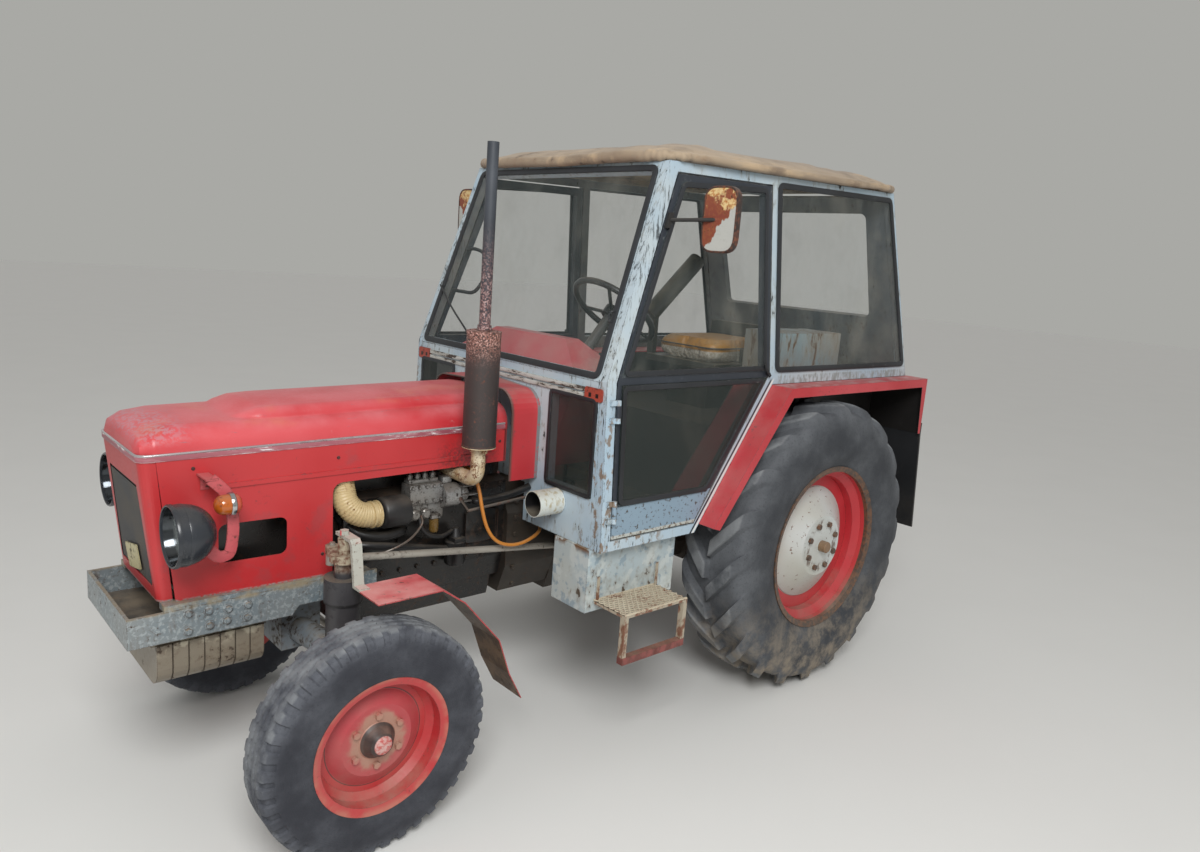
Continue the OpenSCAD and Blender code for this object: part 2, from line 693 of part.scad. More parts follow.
module steering_column() {
  color("dimgray") placed() {
    rod_between(column_foot, wheel_centre - (38 + seat_gap) * column_way, 24);
    // Foot on the instrument housing
    block([column_foot[0] - 40, -50, column_foot[2] - 60], [dash_rear - seat_gap, 50, column_foot[2] + 30]);
  }
}

module steering_wheel() {
  color("darkslategray") placed() translate(wheel_centre) rotate([0, -column_tilt, 0]) {
    rotate_extrude($fn = 64) translate([wheel_rim_r - 14, 0]) circle(r = 14, $fn = 24);
    translate([0, 0, -38]) cylinder(h = 44, r = 42);
    for (a = [30 : 120 : 270])
      rotate([0, 0, a]) rod_between([30, 0, -14], [wheel_rim_r - 16, 0, 0], 8);
  }
}

// Exhaust
stack = [bonnet_rear + 190, 362];
muffler_low_z = 1196;
muffler_high_z = 1604;
muffler_r = 60;
stack_top_z = 2236;
stack_r = 20;
elbow_r = 50;
elbow_z = 1066;
elbow_pipe_r = 26;
manifold_y = 116.4;

module exhaust() {
  color("dimgray") placed() {
    translate([stack[0], stack[1], muffler_low_z]) cylinder(h = muffler_high_z - muffler_low_z, r = muffler_r);
    translate([stack[0], stack[1], muffler_high_z - 1]) cylinder(h = stack_top_z - muffler_high_z + 1, r = stack_r);
    translate([stack[0], stack[1], elbow_z + elbow_r]) cylinder(h = muffler_low_z - elbow_z - elbow_r + 1, r = elbow_pipe_r);
    translate([stack[0], stack[1] - elbow_r, elbow_z + elbow_r]) rotate([0, 90, 0]) rotate([0, 0, 0])
      rotate_extrude(angle = 90) translate([elbow_r, 0]) circle(r = elbow_pipe_r, $fn = 32);
    translate([stack[0], manifold_y, elbow_z]) rotate([-90, 0, 0])
      cylinder(h = stack[1] - elbow_r - manifold_y + 0.5, r = elbow_pipe_r);
  }
}

// Headlamps with their brackets and indicators
lamp = [bonnet_front - 45, nose_half + 136, 1020];
indicator_x = bonnet_front - 209;
lamp_r = 91;

module headlamps() {
  color("dimgray") placed() both_sides() {
    translate(lamp) rotate([0, -90, 0]) rotate_extrude($fn = 64)
      polygon([[0, 0], [lamp_r - 4, 0], [lamp_r, 8], [lamp_r, 30], [lamp_r - 6, 62], [lamp_r - 24, 94],
        [lamp_r - 50, 116], [0, 122]]);
    // Bracket to the side panel
    block([lamp[0] - 96, panel_y(lamp[0] - 96) + seat_gap, lamp[2] - 40], [lamp[0] - 60, lamp[1] - 30, lamp[2] + 20]);
    translate([indicator_x, lamp[1] - 42, 1098]) rotate([0, 90, 0]) cylinder(h = 56, r = 30);
    block([indicator_x + 5, panel_y(indicator_x + 5) + seat_gap, 1088], [indicator_x + 30, lamp[1] - 48, 1108]);
  }
}

// Cab
wing_front = [770, 862];
wing_bend = [350, wing_z];
// The cab's slanting rear edge stands on the wing's slope, this far ahead of it when out > 0
wing_slope = (wing_front[0] - wing_bend[0]) / (wing_bend[1] - wing_front[1]);
// The leaning side's lower inner edge hangs this much below its outline
function lean_drop(z) = (z - sill_z) * (1 - cos(cab_lean)) + wall * sin(cab_lean);
function slant_x(z, out) = wing_bend[0] + (wing_bend[1] - z) * wing_slope + out * norm([1, wing_slope]);
side_gap = seat_gap + lean_drop(wing_z) * 0.62;
a_low = [cab_front_x, sill_z - 16];
a_belt = [cab_front_x, belt_z];
a_top = [1042, roof_front_z];
b_top = [412, roof_front_z + 16];
b_belt = [345, belt_z];
c_top = [-490, roof_rear_z];
c_low = [-757, wing_z + seat_gap + lean_drop(wing_z)];
sill_rear = [slant_x(sill_z - 16, side_gap), sill_z - 16];
diagonal_top = [slant_x(c_low[1], side_gap), c_low[1]];
rebate = 30;

module cab_side(s) {
  on_side(s) translate([0, cab_half, sill_z]) rotate([cab_lean, 0, 0]) translate([0, 0, -sill_z]) children();
}

door_hole = [[cab_front_x - post, sill_z + 22], [cab_front_x - post, belt_z - 6], [a_top[0] - post + 2, roof_front_z - 36],
  [b_top[0] + 26, roof_front_z - 22], [b_belt[0] + 28, belt_z], [slant_x(sill_z + 22, rebate), sill_z + 22]];
quarter_hole = [[b_top[0] - 18, roof_front_z - 20], [c_top[0] + 30, roof_rear_z - 36], [c_low[0] + 52, belt_z + 16],
  [b_belt[0] - 16, belt_z + 16]];

// Door hinges, on the front edge of each door below the window line
hinge_x = cab_front_x - post - door_gap;
hinge_out = 10;
hinge_pin_r = 5;
hinge_h = 44;
hinges = [sill_z + 110, belt_z - 130];

module cab_sides() {
  color("lightsteelblue") placed() for (s = [1, -1]) cab_side(s) {
    upright(wall) difference() {
      polygon([a_low, a_belt, a_top, c_top, c_low, diagonal_top, sill_rear]);
      polygon(door_hole);
      polygon(quarter_hole);
    }
    for (z = hinges) {
      translate([hinge_x, hinge_out, z - 10]) cylinder(h = hinge_h + 20, r = hinge_pin_r);
      for (z0 = [z - 20, z + hinge_h + seat_gap]) {
        translate([hinge_x, hinge_out, z0]) cylinder(h = 20 - seat_gap, r = 9);
        block([hinge_x, 3, z0], [hinge_x + 34, 9, z0 + 20 - seat_gap]);
        block([hinge_x + door_gap + 1, -1, z0], [hinge_x + 34, 4, z0 + 20 - seat_gap]);
      }
    }
  }
}

// Half the cab's inner width at a height, measured to the inside of the side frames
function inner_half(z) = cab_half - wall - 0.4 - (z - sill_z) * tan(cab_lean);

shield_rake = atan((a_belt[0] - a_top[0]) / (a_top[1] - a_belt[1]));
shield_h = norm(a_belt - a_top);
inner_post_y = 318;
duct = [cab_front_x - 1, 415, 964];

module cab_front() {
  color("lightsteelblue") placed() {
    // Windscreen frame between the front posts
    translate([cab_front_x, 0, belt_z]) rotate([0, -shield_rake, 0]) translate([-wall, 0, 0])
      rotate([90, 0, 90]) linear_extrude(wall) difference() {
        polygon([[-inner_half(belt_z), -6], [inner_half(belt_z), -6], [inner_half(roof_front_z), shield_h - 6],
          [-inner_half(roof_front_z), shield_h - 6]]);
        polygon([[26 - inner_half(belt_z), 26], [inner_half(belt_z) - 26, 26],
          [inner_half(roof_front_z) - 26, shield_h - 44], [26 - inner_half(roof_front_z), shield_h - 44]]);
      }
    // Lower wall with its two window openings
    difference() {
      translate([cab_front_x - wall, 0, sill_z - 16]) trapezoid_bar(wall, belt_z - sill_z + 16, sill_z - 16);
      both_sides() block([cab_front_x - 100, inner_post_y + 30, sill_z + 184],
        [cab_front_x + 50, inner_half(belt_z) - 18, belt_z - 84]);
      block([cab_front_x - 100, -housing_half, sill_z - 30], [cab_front_x + 50, housing_half, 986]);
    }
    // Warm air duct on the left
    translate(duct) rotate([0, 90, 0]) difference() {
      cylinder(h = 118, r = 50);
      translate([0, 0, 6]) cylinder(h = 140, r = 46);
    }
  }
}

// A cross bar whose ends follow the lean of the cab's sides, from the height z up
module trapezoid_bar(depth, height, z) {
  rotate([90, 0, 90]) linear_extrude(depth) polygon([[-inner_half(z), 0], [inner_half(z), 0],
    [inner_half(z + height), height], [-inner_half(z + height), height]]);
}

rear_rake = atan((c_top[0] - c_low[0]) / (c_top[1] - c_low[1]));

module rear_plane() {
  translate([c_low[0], 0, c_low[1]]) rotate([0, rear_rake, 0]) children();
}

rear_h = norm(c_top - c_low);

module cab_rear() {
  color("lightsteelblue") placed() {
    rear_plane() rotate([90, 0, 90]) linear_extrude(wall) difference() {
      polygon([[-inner_half(c_low[1] + 18), 12], [inner_half(c_low[1] + 18), 12],
        [inner_half(roof_rear_z), rear_h - 12], [-inner_half(roof_rear_z), rear_h - 12]]);
      rounded(-470, 300, 470, rear_h - 92, 30);
    }
    // Lower rear wall between the wings
    block([c_low[0], 4 - wing_wall_y, rear_wall_low], [c_low[0] + 12, wing_wall_y - 4, c_low[1] + 20]);
  }
}

module windshield() {
  color("lightcyan", 0.4) placed() translate([cab_front_x + seat_gap, 0, belt_z]) rotate([0, -shield_rake, 0])
    rotate([90, 0, 90]) linear_extrude(glass)
      polygon([[14 - inner_half(belt_z), 8], [inner_half(belt_z) - 14, 8],
        [inner_half(roof_front_z) - 14, shield_h - 28], [14 - inner_half(roof_front_z), shield_h - 28]]);
}

module front_panes() {
  color("lightcyan", 0.4) placed() both_sides()
    block([cab_front_x + seat_gap, inner_post_y + 18, sill_z + 172],
      [cab_front_x + seat_gap + glass, inner_half(belt_z) - 6, belt_z - 72]);
}

module quarter_panes() {
  color("lightcyan", 0.4) placed() for (s = [1, -1]) cab_side(s) translate([0, glass + seat_gap, 0]) upright(glass)
    offset(delta = 14) polygon(quarter_hole);
}

module rear_pane() {
  color("lightcyan", 0.4) placed() rear_plane() translate([-glass - seat_gap, 0, 0]) rotate([90, 0, 90])
    linear_extrude(glass) rounded(-484, 286, 484, rear_h - 78, 40);
}

gearbox_top = sill_z - 10;
floor_z = gearbox_top + seat_gap;
floor_t = 8;
housing_half = 206;

riser_x = 585;
platform_x = 500;
platform_z = 1200;

module cab_floor() {
  color("gray") placed() {
    difference() {
      block([riser_x - 1, -inner_half(sill_z), floor_z], [cab_front_x - wall - seat_gap, inner_half(sill_z), floor_z + floor_t]);
      block([1112, -housing_half, floor_z - 5], [cab_front_x, housing_half, floor_z + 20]);
      both_sides() block([riser_x - 5, wing_wall_y + sheet + 2, floor_z - 5], [wing_front[0] + 6, 700, floor_z + 20]);
    }
    // Riser and the platform that carries the seat
    translate([0, wing_wall_y - seat_gap, 0]) upright(2 * wing_wall_y - 2 * seat_gap) polygon([[riser_x, floor_z],
      [riser_x, floor_z + floor_t], [platform_x, platform_z], [c_low[0] + 12 + seat_gap, platform_z],
      [c_low[0] + 12 + seat_gap, platform_z - floor_t], [platform_x - 6, platform_z - floor_t], [riser_x - 8, floor_z]]);
  }
}

// Roof cover
module roof_cover() {
  color("tan") placed() hull() for (p = [[0, 0], [34, 34], [64, 70], [86, 200], [roof_rise, 420]])
    translate([0, 0, p[0]]) roof_layer(p[1]);
}

module roof_layer(inset) {
  slope = atan((roof_rear_z - roof_front_z) / (a_top[0] - c_top[0]));
  // Lies on the top rails, whose lean brings them a little lower
  rail = roof_front_z - (roof_front_z - sill_z) * (1 - cos(cab_lean));
  translate([a_top[0] + 34, 0, rail + seat_gap - 34 * tan(slope)]) rotate([0, slope, 0]) translate([-1606 + inset, -640 + inset, 0])
    cube([1606 - 2 * inset, 1280 - 2 * inset, 6]);
}

// Doors
module door(s) {
  color("lightsteelblue") placed() cab_side(s) {
    upright(wall) difference() {
      offset(delta = -door_gap) polygon(door_hole);
      polygon(door_upper);
      polygon(door_lower);
    }
    for (z = hinges) difference() {
      union() {
        translate([hinge_x, hinge_out, z]) cylinder(h = hinge_h, r = 9);
        block([hinge_x - 19, -1, z], [hinge_x, 6, z + hinge_h]);
      }
      translate([hinge_x, hinge_out, z - 5]) cylinder(h = hinge_h + 10, r = hinge_pin_r + running);
    }
  }
}

door_upper = [[cab_front_x - post - 38, belt_z + 26], [a_top[0] - post - 30, roof_front_z - 78],
  [b_top[0] + 66, roof_front_z - 66], [b_belt[0] + 70, belt_z + 26]];
door_lower = [[cab_front_x - post - 38, sill_z + 160], [cab_front_x - post - 38, belt_z - 26],
  [slant_x(belt_z - 26, rebate + 40), belt_z - 26], [slant_x(sill_z + 160, rebate + 40), sill_z + 160]];

module door_glass(s) {
  color("lightcyan", 0.4) placed() cab_side(s) translate([0, glass + seat_gap, 0]) upright(glass) {
    offset(delta = 12) polygon(door_upper);
    offset(delta = 12) polygon(door_lower);
  }
}

mirror_at = [950, 800, 2046];
mirror_foot = [1040, 2036];
post_lean = (a_belt[0] - a_top[0]) / (a_top[1] - a_belt[1]);

module door_mirror(s) {
  color("sienna") placed() {
    cab_side(s) translate([0, 14 + seat_gap, 0]) upright(14)
      polygon([for (c = [[-9, -28], [9, -28], [9, 28], [-9, 28]])
        [mirror_foot[0] + c[0] - c[1] * post_lean, mirror_foot[1] + c[1]]]);
    on_side(s) {
      rod_between([mirror_foot[0] - 4, cab_half - (mirror_foot[1] - sill_z) * tan(cab_lean) + 8, mirror_foot[1]],
        [mirror_at[0] + 10, mirror_at[1], mirror_at[2]], 7);
      translate(mirror_at) rotate([90, 0, 90]) linear_extrude(22) rounded(-75, -112, 75, 112, 50);
    }
  }
}

// Seat and locker
seat_z = 1400;

module seat_base() {
  color("dimgray") placed() {
    block([-90, -130, platform_z + seat_gap], [170, 130, seat_z + 1]);
    // Shell with its raised back and sides
    block([-250, -226, seat_z], [240, 226, seat_z + 30]);
    block([-262, -226, seat_z], [-232, 226, seat_z + 204]);
    both_sides() block([-262, 206, seat_z], [40, 226, seat_z + 100]);
    // Arm rest on the right, tipped up
    block([176, -262, seat_z + 2], [206, -225, seat_z + 248]);
    rod_between([214, -262, seat_z + 212], [-112, -262, seat_z + 508], 44);
  }
}

module seat_cushion() {
  color("goldenrod") placed() block([-231, -205, seat_z + 30 + seat_gap], [236, 205, seat_z + 140]);
}

locker_top_z = 1604;

module rear_locker() {
  color("gray") placed() block([-430, 236, platform_z + seat_gap], [50, wing_wall_y - seat_gap, locker_top_z]);
}

// Rear wings
wing_rear = -790;
wing_lip = 42;
wing_wall_y = 452;
rear_wall_low = 1128;
wing_drop = 282;

module rear_wings() {
  color("firebrick") placed() both_sides() {
    // Top plate with its sloping front and its rear drop, as one bent sheet
    translate([0, wing_half, 0]) upright(wing_half - wing_wall_y) polygon([wing_front, wing_bend,
      [wing_rear, wing_z], [wing_rear, wing_z - wing_drop], [wing_rear + sheet, wing_z - wing_drop],
      [wing_rear + sheet, wing_z - sheet], [wing_bend[0] - 2, wing_z - sheet],
      [wing_front[0] - sheet, wing_front[1] - 3]]);
    // Outer lip
    translate([0, wing_half, 0]) upright(sheet) polygon([wing_front, wing_bend, [wing_rear, wing_z],
      [wing_rear, wing_z - wing_drop], [wing_rear + wing_lip / 2, wing_z - wing_drop],
      [wing_rear + wing_lip, wing_z - wing_lip], [wing_bend[0] - 20, wing_z - wing_lip],
      [wing_front[0] - wing_lip, wing_front[1] - 14]]);
    // Inner wall beside the tyre, down to the floor
    translate([0, wing_wall_y + sheet, 0]) upright(sheet) polygon([[wing_front[0] - 2, wing_front[1]],
      [wing_bend[0] - 2, wing_z - 1], [wing_rear + 1, wing_z - 1], [wing_rear + 1, rear_wall_low],
      [470, rear_wall_low], [riser_x, floor_z + floor_t + seat_gap], [wing_front[0] - 20, floor_z + floor_t + seat_gap]]);
  }
}

flap_t = 10;

module mud_flaps() {
  color("dimgray") placed() both_sides() translate([0, wing_half, 0]) upright(290)
    polygon([[wing_rear - seat_gap, 1180], [wing_rear - seat_gap, wing_z - wing_drop], [-846, 620],
      [-846 - flap_t, 620], [wing_rear - seat_gap - flap_t, wing_z - wing_drop], [wing_rear - seat_gap - flap_t, 1180]]);
}

// Boxes with steps under the doors
box_x = [852, 1316];
box_y = [430, 628];
box_z = [584, sill_z - 16 - seat_gap];

module step_boxes() {
  color("lightsteelblue") placed() both_sides() {
    block([box_x[0], box_y[0], box_z[0]], [box_x[1], box_y[1], box_z[1]]);
    // Step plate, legs and lower rung
    block([946, box_y[1] - 2, 616], [1276, 804, 626]);
    for (x = [946, 1256]) block([x, 780, 440], [x + 20, 804, 618]);
    block([948, 776, 436], [1274, 806, 462]);
    for (x = [946, 1256]) block([x, box_y[1] - 2, 616], [x + 12, box_y[1] + 10, 720]);
  }
}

// Rear linkage
// x and z of the lower links' pivots, and the height of the lift arms' shaft above the ground
lower_pivot = [-170, 470];
lift_z = 768;
// Along a lower link from its pivot to the lift rod's pin, and along a lift arm
link_pin = 300;
lower_y = 262;
link_t = 22;
lift_y = 206;
lift_t = 30;
pin_r = 10;
ball_x = -link_tip + 40;

module cross_y(x, y, z, length, r) {
  translate([x, y, z]) rotate([-90, 0, 0]) cylinder(h = length, r = r);
}

// The drawbar's pin drops in clear of the cab's rear
drawbar_pin_x = -800;

module drawbar() {
  color("dimgray") placed() difference() {
    union() {
      block([drawbar_pin_x - 34, -34, 380], [60, 34, 408]);
      block([-60, -60, 407], [50, 60, 460 - seat_gap]);
    }
    translate([drawbar_pin_x, 0, 370]) cylinder(h = 50, r = drawbar_bore_r);
  }
}

module lower_links() {
  color("dimgray") placed() both_sides() difference() {
    union() {
      block([ball_x, lower_y, lower_pivot[1] - 30], [lower_pivot[0], lower_y + link_t, lower_pivot[1] + 30]);
      cross_y(lower_pivot[0], lower_y - 2, lower_pivot[1], link_t + 4, 36);
      cross_y(ball_x, lower_y - 11, lower_pivot[1], link_t + 22, 40);
      cross_y(lower_pivot[0] - link_pin, lift_y + lift_t + 2, lower_pivot[1], lower_y - lift_y - lift_t, pin_r);
    }
    cross_y(ball_x, lower_y - 30, lower_pivot[1], 90, link_bore_r);
    cross_y(lower_pivot[0], lower_y - 30, lower_pivot[1], 90, 15 + running);
  }
}

module lift_arms() {
  color("dimgray") placed() both_sides() difference() {
    union() {
      block([lower_pivot[0] - link_pin, lift_y + 4, lift_z - 22], [lower_pivot[0], lift_y + lift_t, lift_z + 22]);
      cross_y(lower_pivot[0], lift_y, lift_z, lift_t, 40);
      cross_y(lower_pivot[0] - link_pin, lift_y + 4, lift_z, lift_t - 4, 24);
      cross_y(lower_pivot[0] - link_pin, lift_y + lift_t - 1, lift_z, lower_y - lift_y - lift_t - 1, pin_r);
    }
    cross_y(lower_pivot[0], lift_y - 10, lift_z, 60, 22 + running);
  }
}

module lift_rods() {
  x = lower_pivot[0] - link_pin;
  y = lift_y + lift_t + 2;
  t = lower_y - y - seat_gap;
  color("dimgray") placed() both_sides() difference() {
    union() {
      translate([x, y + t / 2, lower_pivot[1]]) cylinder(h = lift_z - lower_pivot[1], r = t / 2 - 1);
      for (z = [lower_pivot[1], lift_z]) cross_y(x, y, z, t, 22);
    }
    for (z = [lower_pivot[1], lift_z]) cross_y(x, y - 5, z, t + 10, pin_r + running);
  }
}

transmission();
engine();
engine_fittings();
air_intake();
radiator();
front_frame();
front_weights();
front_axle();
grille_housing();
grille();
side_panels();
hood();
exhaust();
headlamps();
cowl();
steering_column();
steering_wheel();
drop_arm_link();
drag_link();
tie_rod();
knuckle(1);  // knuckle_left
knuckle(-1);  // knuckle_right
front_fender(1);  // front_fender_left
front_fender(-1);  // front_fender_right
front_rim(1);  // front_rim_left
front_rim(-1);  // front_rim_right
front_tyre(1);  // front_tyre_left
front_tyre(-1);  // front_tyre_right
rear_rim(1);  // rear_rim_left
rear_rim(-1);  // rear_rim_right
rear_tyre(1);  // rear_tyre_left
rear_tyre(-1);  // rear_tyre_right
cab_sides();
cab_front();
cab_rear();
roof_cover();
windshield();
front_panes();
quarter_panes();
rear_pane();
cab_floor();
door(1);  // door_left
door(-1);  // door_right
door_glass(1);  // door_glass_left
door_glass(-1);  // door_glass_right
door_mirror(1);  // mirror_left
door_mirror(-1);  // mirror_right
seat_base();
seat_cushion();
rear_locker();
rear_wings();
mud_flaps();
step_boxes();
drawbar();
lower_links();
lift_arms();
lift_rods();
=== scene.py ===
import bmesh
import bpy
import numpy as np
from mathutils import Matrix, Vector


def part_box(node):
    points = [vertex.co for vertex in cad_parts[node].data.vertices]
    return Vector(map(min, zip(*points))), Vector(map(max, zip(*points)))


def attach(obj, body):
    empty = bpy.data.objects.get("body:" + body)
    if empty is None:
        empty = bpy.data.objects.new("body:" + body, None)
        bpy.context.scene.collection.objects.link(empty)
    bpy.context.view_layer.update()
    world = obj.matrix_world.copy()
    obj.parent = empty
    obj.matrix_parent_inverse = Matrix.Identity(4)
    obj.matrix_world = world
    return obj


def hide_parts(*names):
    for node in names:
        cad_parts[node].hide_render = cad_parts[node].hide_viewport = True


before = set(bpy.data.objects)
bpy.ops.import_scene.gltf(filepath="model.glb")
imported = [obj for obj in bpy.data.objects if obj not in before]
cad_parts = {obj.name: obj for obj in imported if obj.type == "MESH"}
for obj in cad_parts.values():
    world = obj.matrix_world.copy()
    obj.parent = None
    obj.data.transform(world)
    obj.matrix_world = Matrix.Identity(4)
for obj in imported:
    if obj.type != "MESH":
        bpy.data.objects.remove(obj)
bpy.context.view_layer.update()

# Camera
# A handheld view from ahead and to the left, a little above the bonnet, with a slight roll and a moderately
# wide lens.


def put(thing, place, *axes):
    """Adds an object to the scene at a place, its own three axes along the given ones."""
    thing.matrix_world = Matrix([*np.column_stack((*axes, place)).tolist(), (0, 0, 0, 1)])
    bpy.context.scene.collection.objects.link(thing)


around, above, roll = np.radians((137.444843, 10.894791, 4.319040))
back = np.array((np.sin(around) * np.cos(above), -np.cos(around) * np.cos(above), np.sin(above)))
right = np.cross(-back, (0, 0, 1))
right /= np.linalg.norm(right)
up = np.cross(right, -back)
right, up = right * np.cos(roll) + up * np.sin(roll), up * np.cos(roll) - right * np.sin(roll)
camera = bpy.data.objects.new("camera", bpy.data.cameras.new("camera"))
camera.data.sensor_width = 36
camera.data.sensor_fit = "HORIZONTAL"
camera.data.lens = 26.1722
put(camera, (2.439480, 2.880763, 1.883845), right, up, back)
bpy.context.scene.camera = camera

# Fuel hose
# An orange plastic hose, pushed onto a union beside the injection pump and onto another on the gearbox's
# side. It hangs in a bow between the two.
rear_lo, rear_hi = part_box("rear_rim_left")
rear_axle = np.array(((rear_lo.x + rear_hi.x) / 2, 0, 0))


def mm(points):
    """Points in millimetres ahead of the rear axle, to the left and above the ground, moved into the frame in
    metres."""
    return np.asarray(points, float) / 1000 + rear_axle


def space(name):
    """The two far corners of a CAD node, in the same millimetres."""
    return [(np.array(corner) - rear_axle) * 1000 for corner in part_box(name)]


def along(line):
    """How far along a line each of its points lies."""
    return np.append(0, np.cumsum(np.linalg.norm(np.diff(line, axis=0), axis=1)))


def shade(code):
    """A colour as seen on a screen, two hex digits each for red, green and blue, turned into linear light."""
    seen = np.array([int(code[i:i + 2], 16) for i in (0, 2, 4)]) / 255
    return (*np.where(seen > 0.04045, ((seen + 0.055) / 1.055) ** 2.4, seen / 12.92), 1.0)


class Value:
    """One socket of a finish. Sums, products, powers and comparisons of it add Math nodes."""

    def __init__(self, finish, socket):
        self.finish, self.socket = finish, socket

    def sum(self, operation, *terms):
        return self.finish.node("Math", {"operation": operation}, dict(enumerate(terms)))

    def __add__(self, other): return self.sum("ADD", self, other)
    def __radd__(self, other): return self.sum("ADD", other, self)
    def __sub__(self, other): return self.sum("SUBTRACT", self, other)
    def __rsub__(self, other): return self.sum("SUBTRACT", other, self)
    def __mul__(self, other): return self.sum("MULTIPLY", self, other)
    def __rmul__(self, other): return self.sum("MULTIPLY", other, self)
    def __gt__(self, other): return self.sum("GREATER_THAN", self, other)
    def __or__(self, other): return self.sum("MAXIMUM", self, other)
    def __abs__(self): return self.sum("ABSOLUTE", self)

    def rise(self, low, high):
        """0 below low, 1 above high, and smooth between; falls instead where low is the larger."""
        return self.finish.node("MapRange", {"interpolation_type": "SMOOTHSTEP"}, {0: self, 1: low, 2: high})

    def between(self, low, high, soft=0.001):
        """1 from low to high and 0 outside, with soft edges."""
        return self.rise(low - soft, low + soft) * self.rise(high + soft, high - soft)


class Finish:
    """A material in the making: its Principled shader, its colour so far, and the place of each point, in
    metres ahead of the rear axle (x), to the left (y) and above the ground (z)."""

    def __init__(self, name, **constants):
        self.material = bpy.data.materials.new(name)
        self.material.use_nodes = True
        self.tree = self.material.node_tree
        self.shader = self.tree.nodes["Principled BSDF"]
        self.closed = False
        for socket, value in constants.items():
            self.shader.inputs[socket.replace("_", " ")].default_value = value
        self.place = self.node("TexCoord", {}, {}, "Object")
        x, self.y, self.z = (self.node("SeparateXYZ", {}, {0: self.place}, axis) for axis in "XYZ")
        self.x = x - rear_axle[0]

    def node(self, kind, settings, inputs, output=0):
        """A shader node: its type, its settings, then the values or links of its sockets."""
        made = self.tree.nodes.new("ShaderNode" + kind)
        for key, value in settings.items():
            setattr(made, key, value)
        for key, value in inputs.items():
            if isinstance(value, Value):
                self.tree.links.new(value.socket, made.inputs[key])
            else:
                made.inputs[key].default_value = value
        return Value(self, made.outputs[output])

    def noise(self, size, detail=4, rough=0.55, stretch=(1, 1, 1), shift=0):
        """Cloudy noise round 0.5 whose lumps measure about size metres, drawn out along an axis by
        stretch."""
        scaled = self.node("Mapping", {},
                           {0: self.place, 1: (shift,) * 3, 3: tuple(1 / size / s for s in stretch)})
        return self.node("TexNoise", {},
                         {"Vector": scaled, "Scale": 1.0, "Detail": detail, "Roughness": rough})

    def mix(self, under, over, amount):
        """The colour under, covered by the colour over as far as amount."""
        under, over = (shade(colour) if isinstance(colour, str) else colour for colour in (under, over))
        return self.node("Mix", {"data_type": "RGBA"}, {0: amount, 6: under, 7: over}, 2)

    def cover(self, colour, amount):
        """Lays another colour over the finish as far as amount."""
        self.colour = self.mix(self.colour, colour, amount)

    def away(self, x, z):
        """Distance from a line across the tractor, given by its place ahead of the rear axle and above the
        ground."""
        flat = self.node("CombineXYZ", {}, {0: self.x, 2: self.z})
        return self.node("VectorMath", {"operation": "DISTANCE"}, {0: flat, 1: (x, 0, z)}, "Value")

    def edges(self, radius=0.004):
        """Near 1 on edges and in corners, where a rounded normal departs from the true one."""
        soft = self.node("Bevel", {"samples": 3}, {"Radius": radius})
        true = self.node("NewGeometry", {}, {}, "True Normal")
        alike = self.node("VectorMath", {"operation": "DOT_PRODUCT"}, {0: soft, 1: true}, "Value")
        return ((1 - alike) * 3).rise(0.02, 0.6)

    def looks(self, axis):
        """How far a face looks along an axis, from -1 to 1."""
        return self.node("SeparateXYZ", {}, {0: self.node("NewGeometry", {}, {}, "Normal")}, axis)

    def close(self, colour, rough, metal=None, bump=None, depth=0.001):
        """Links the finished colour, roughness, metal and relief to the shader."""
        self.closed = True
        for socket, value in (("Base Color", colour), ("Roughness", rough), ("Metallic", metal)):
            if isinstance(value, Value):
                self.tree.links.new(value.socket, self.shader.inputs[socket])
            elif value is not None:
                self.shader.inputs[socket].default_value = value
        if bump:
            relief = self.node("Bump", {}, {"Distance": depth, "Height": bump})
            self.tree.links.new(relief.socket, self.shader.inputs["Normal"])

    def done(self):
        """The material. The first call settles dust on the faces that look up and low down, and closes the
        finish."""
        if not self.closed:
            lying = self.looks("Z").rise(0.35, 0.9) * self.dusty + self.z.rise(0.9, 0.1) * self.low_dust
            settled = lying * self.noise(0.12, 5).rise(0.25, 0.7)
            smooth_at, rough_at = self.rough
            rough = smooth_at + (rough_at - smooth_at) * (self.worn | settled) + (self.fine - 0.5) * 0.25
            self.close(self.mix(self.colour, self.dust, settled), rough, self.metal,
                       self.fine * 0.5 - self.worn * 0.8, self.relief)
        return self.material


def weathered(name, fresh, faded, bare, chips, size=0.02, edge=0.22, stain=None, streaks=(1, 1, 1),
              dust="8a8073", dusty=0.5, low_dust=0.0, rough=(0.4, 0.8), relief=0.0006, metal=0.0,
              **constants):
    """A coat of paint, fresh fading to faded in clouds, chipped to bare in specks and along edges, with a
    stain round the chips and settled dust."""
    f = Finish(name, **constants)
    f.cloud, f.fine = f.noise(0.4, 3), f.noise(size, 7, 0.65, streaks)
    wear = f.fine * 0.6 + f.noise(size * 5, 4, 0.6, streaks, 3) * 0.4 + f.edges() * edge
    limit = 0.72 - 0.3 * chips
    f.worn = wear.rise(limit, limit + 0.025)
    f.colour = f.mix(f.mix(fresh, faded, f.cloud.rise(0.32, 0.68)), stain or bare,
                     wear.rise(limit - 0.08, limit) * 0.4)
    f.cover(bare, f.worn)
    f.dust, f.dusty, f.low_dust, f.rough, f.relief, f.metal = dust, dusty, low_dust, rough, relief, metal
    return f


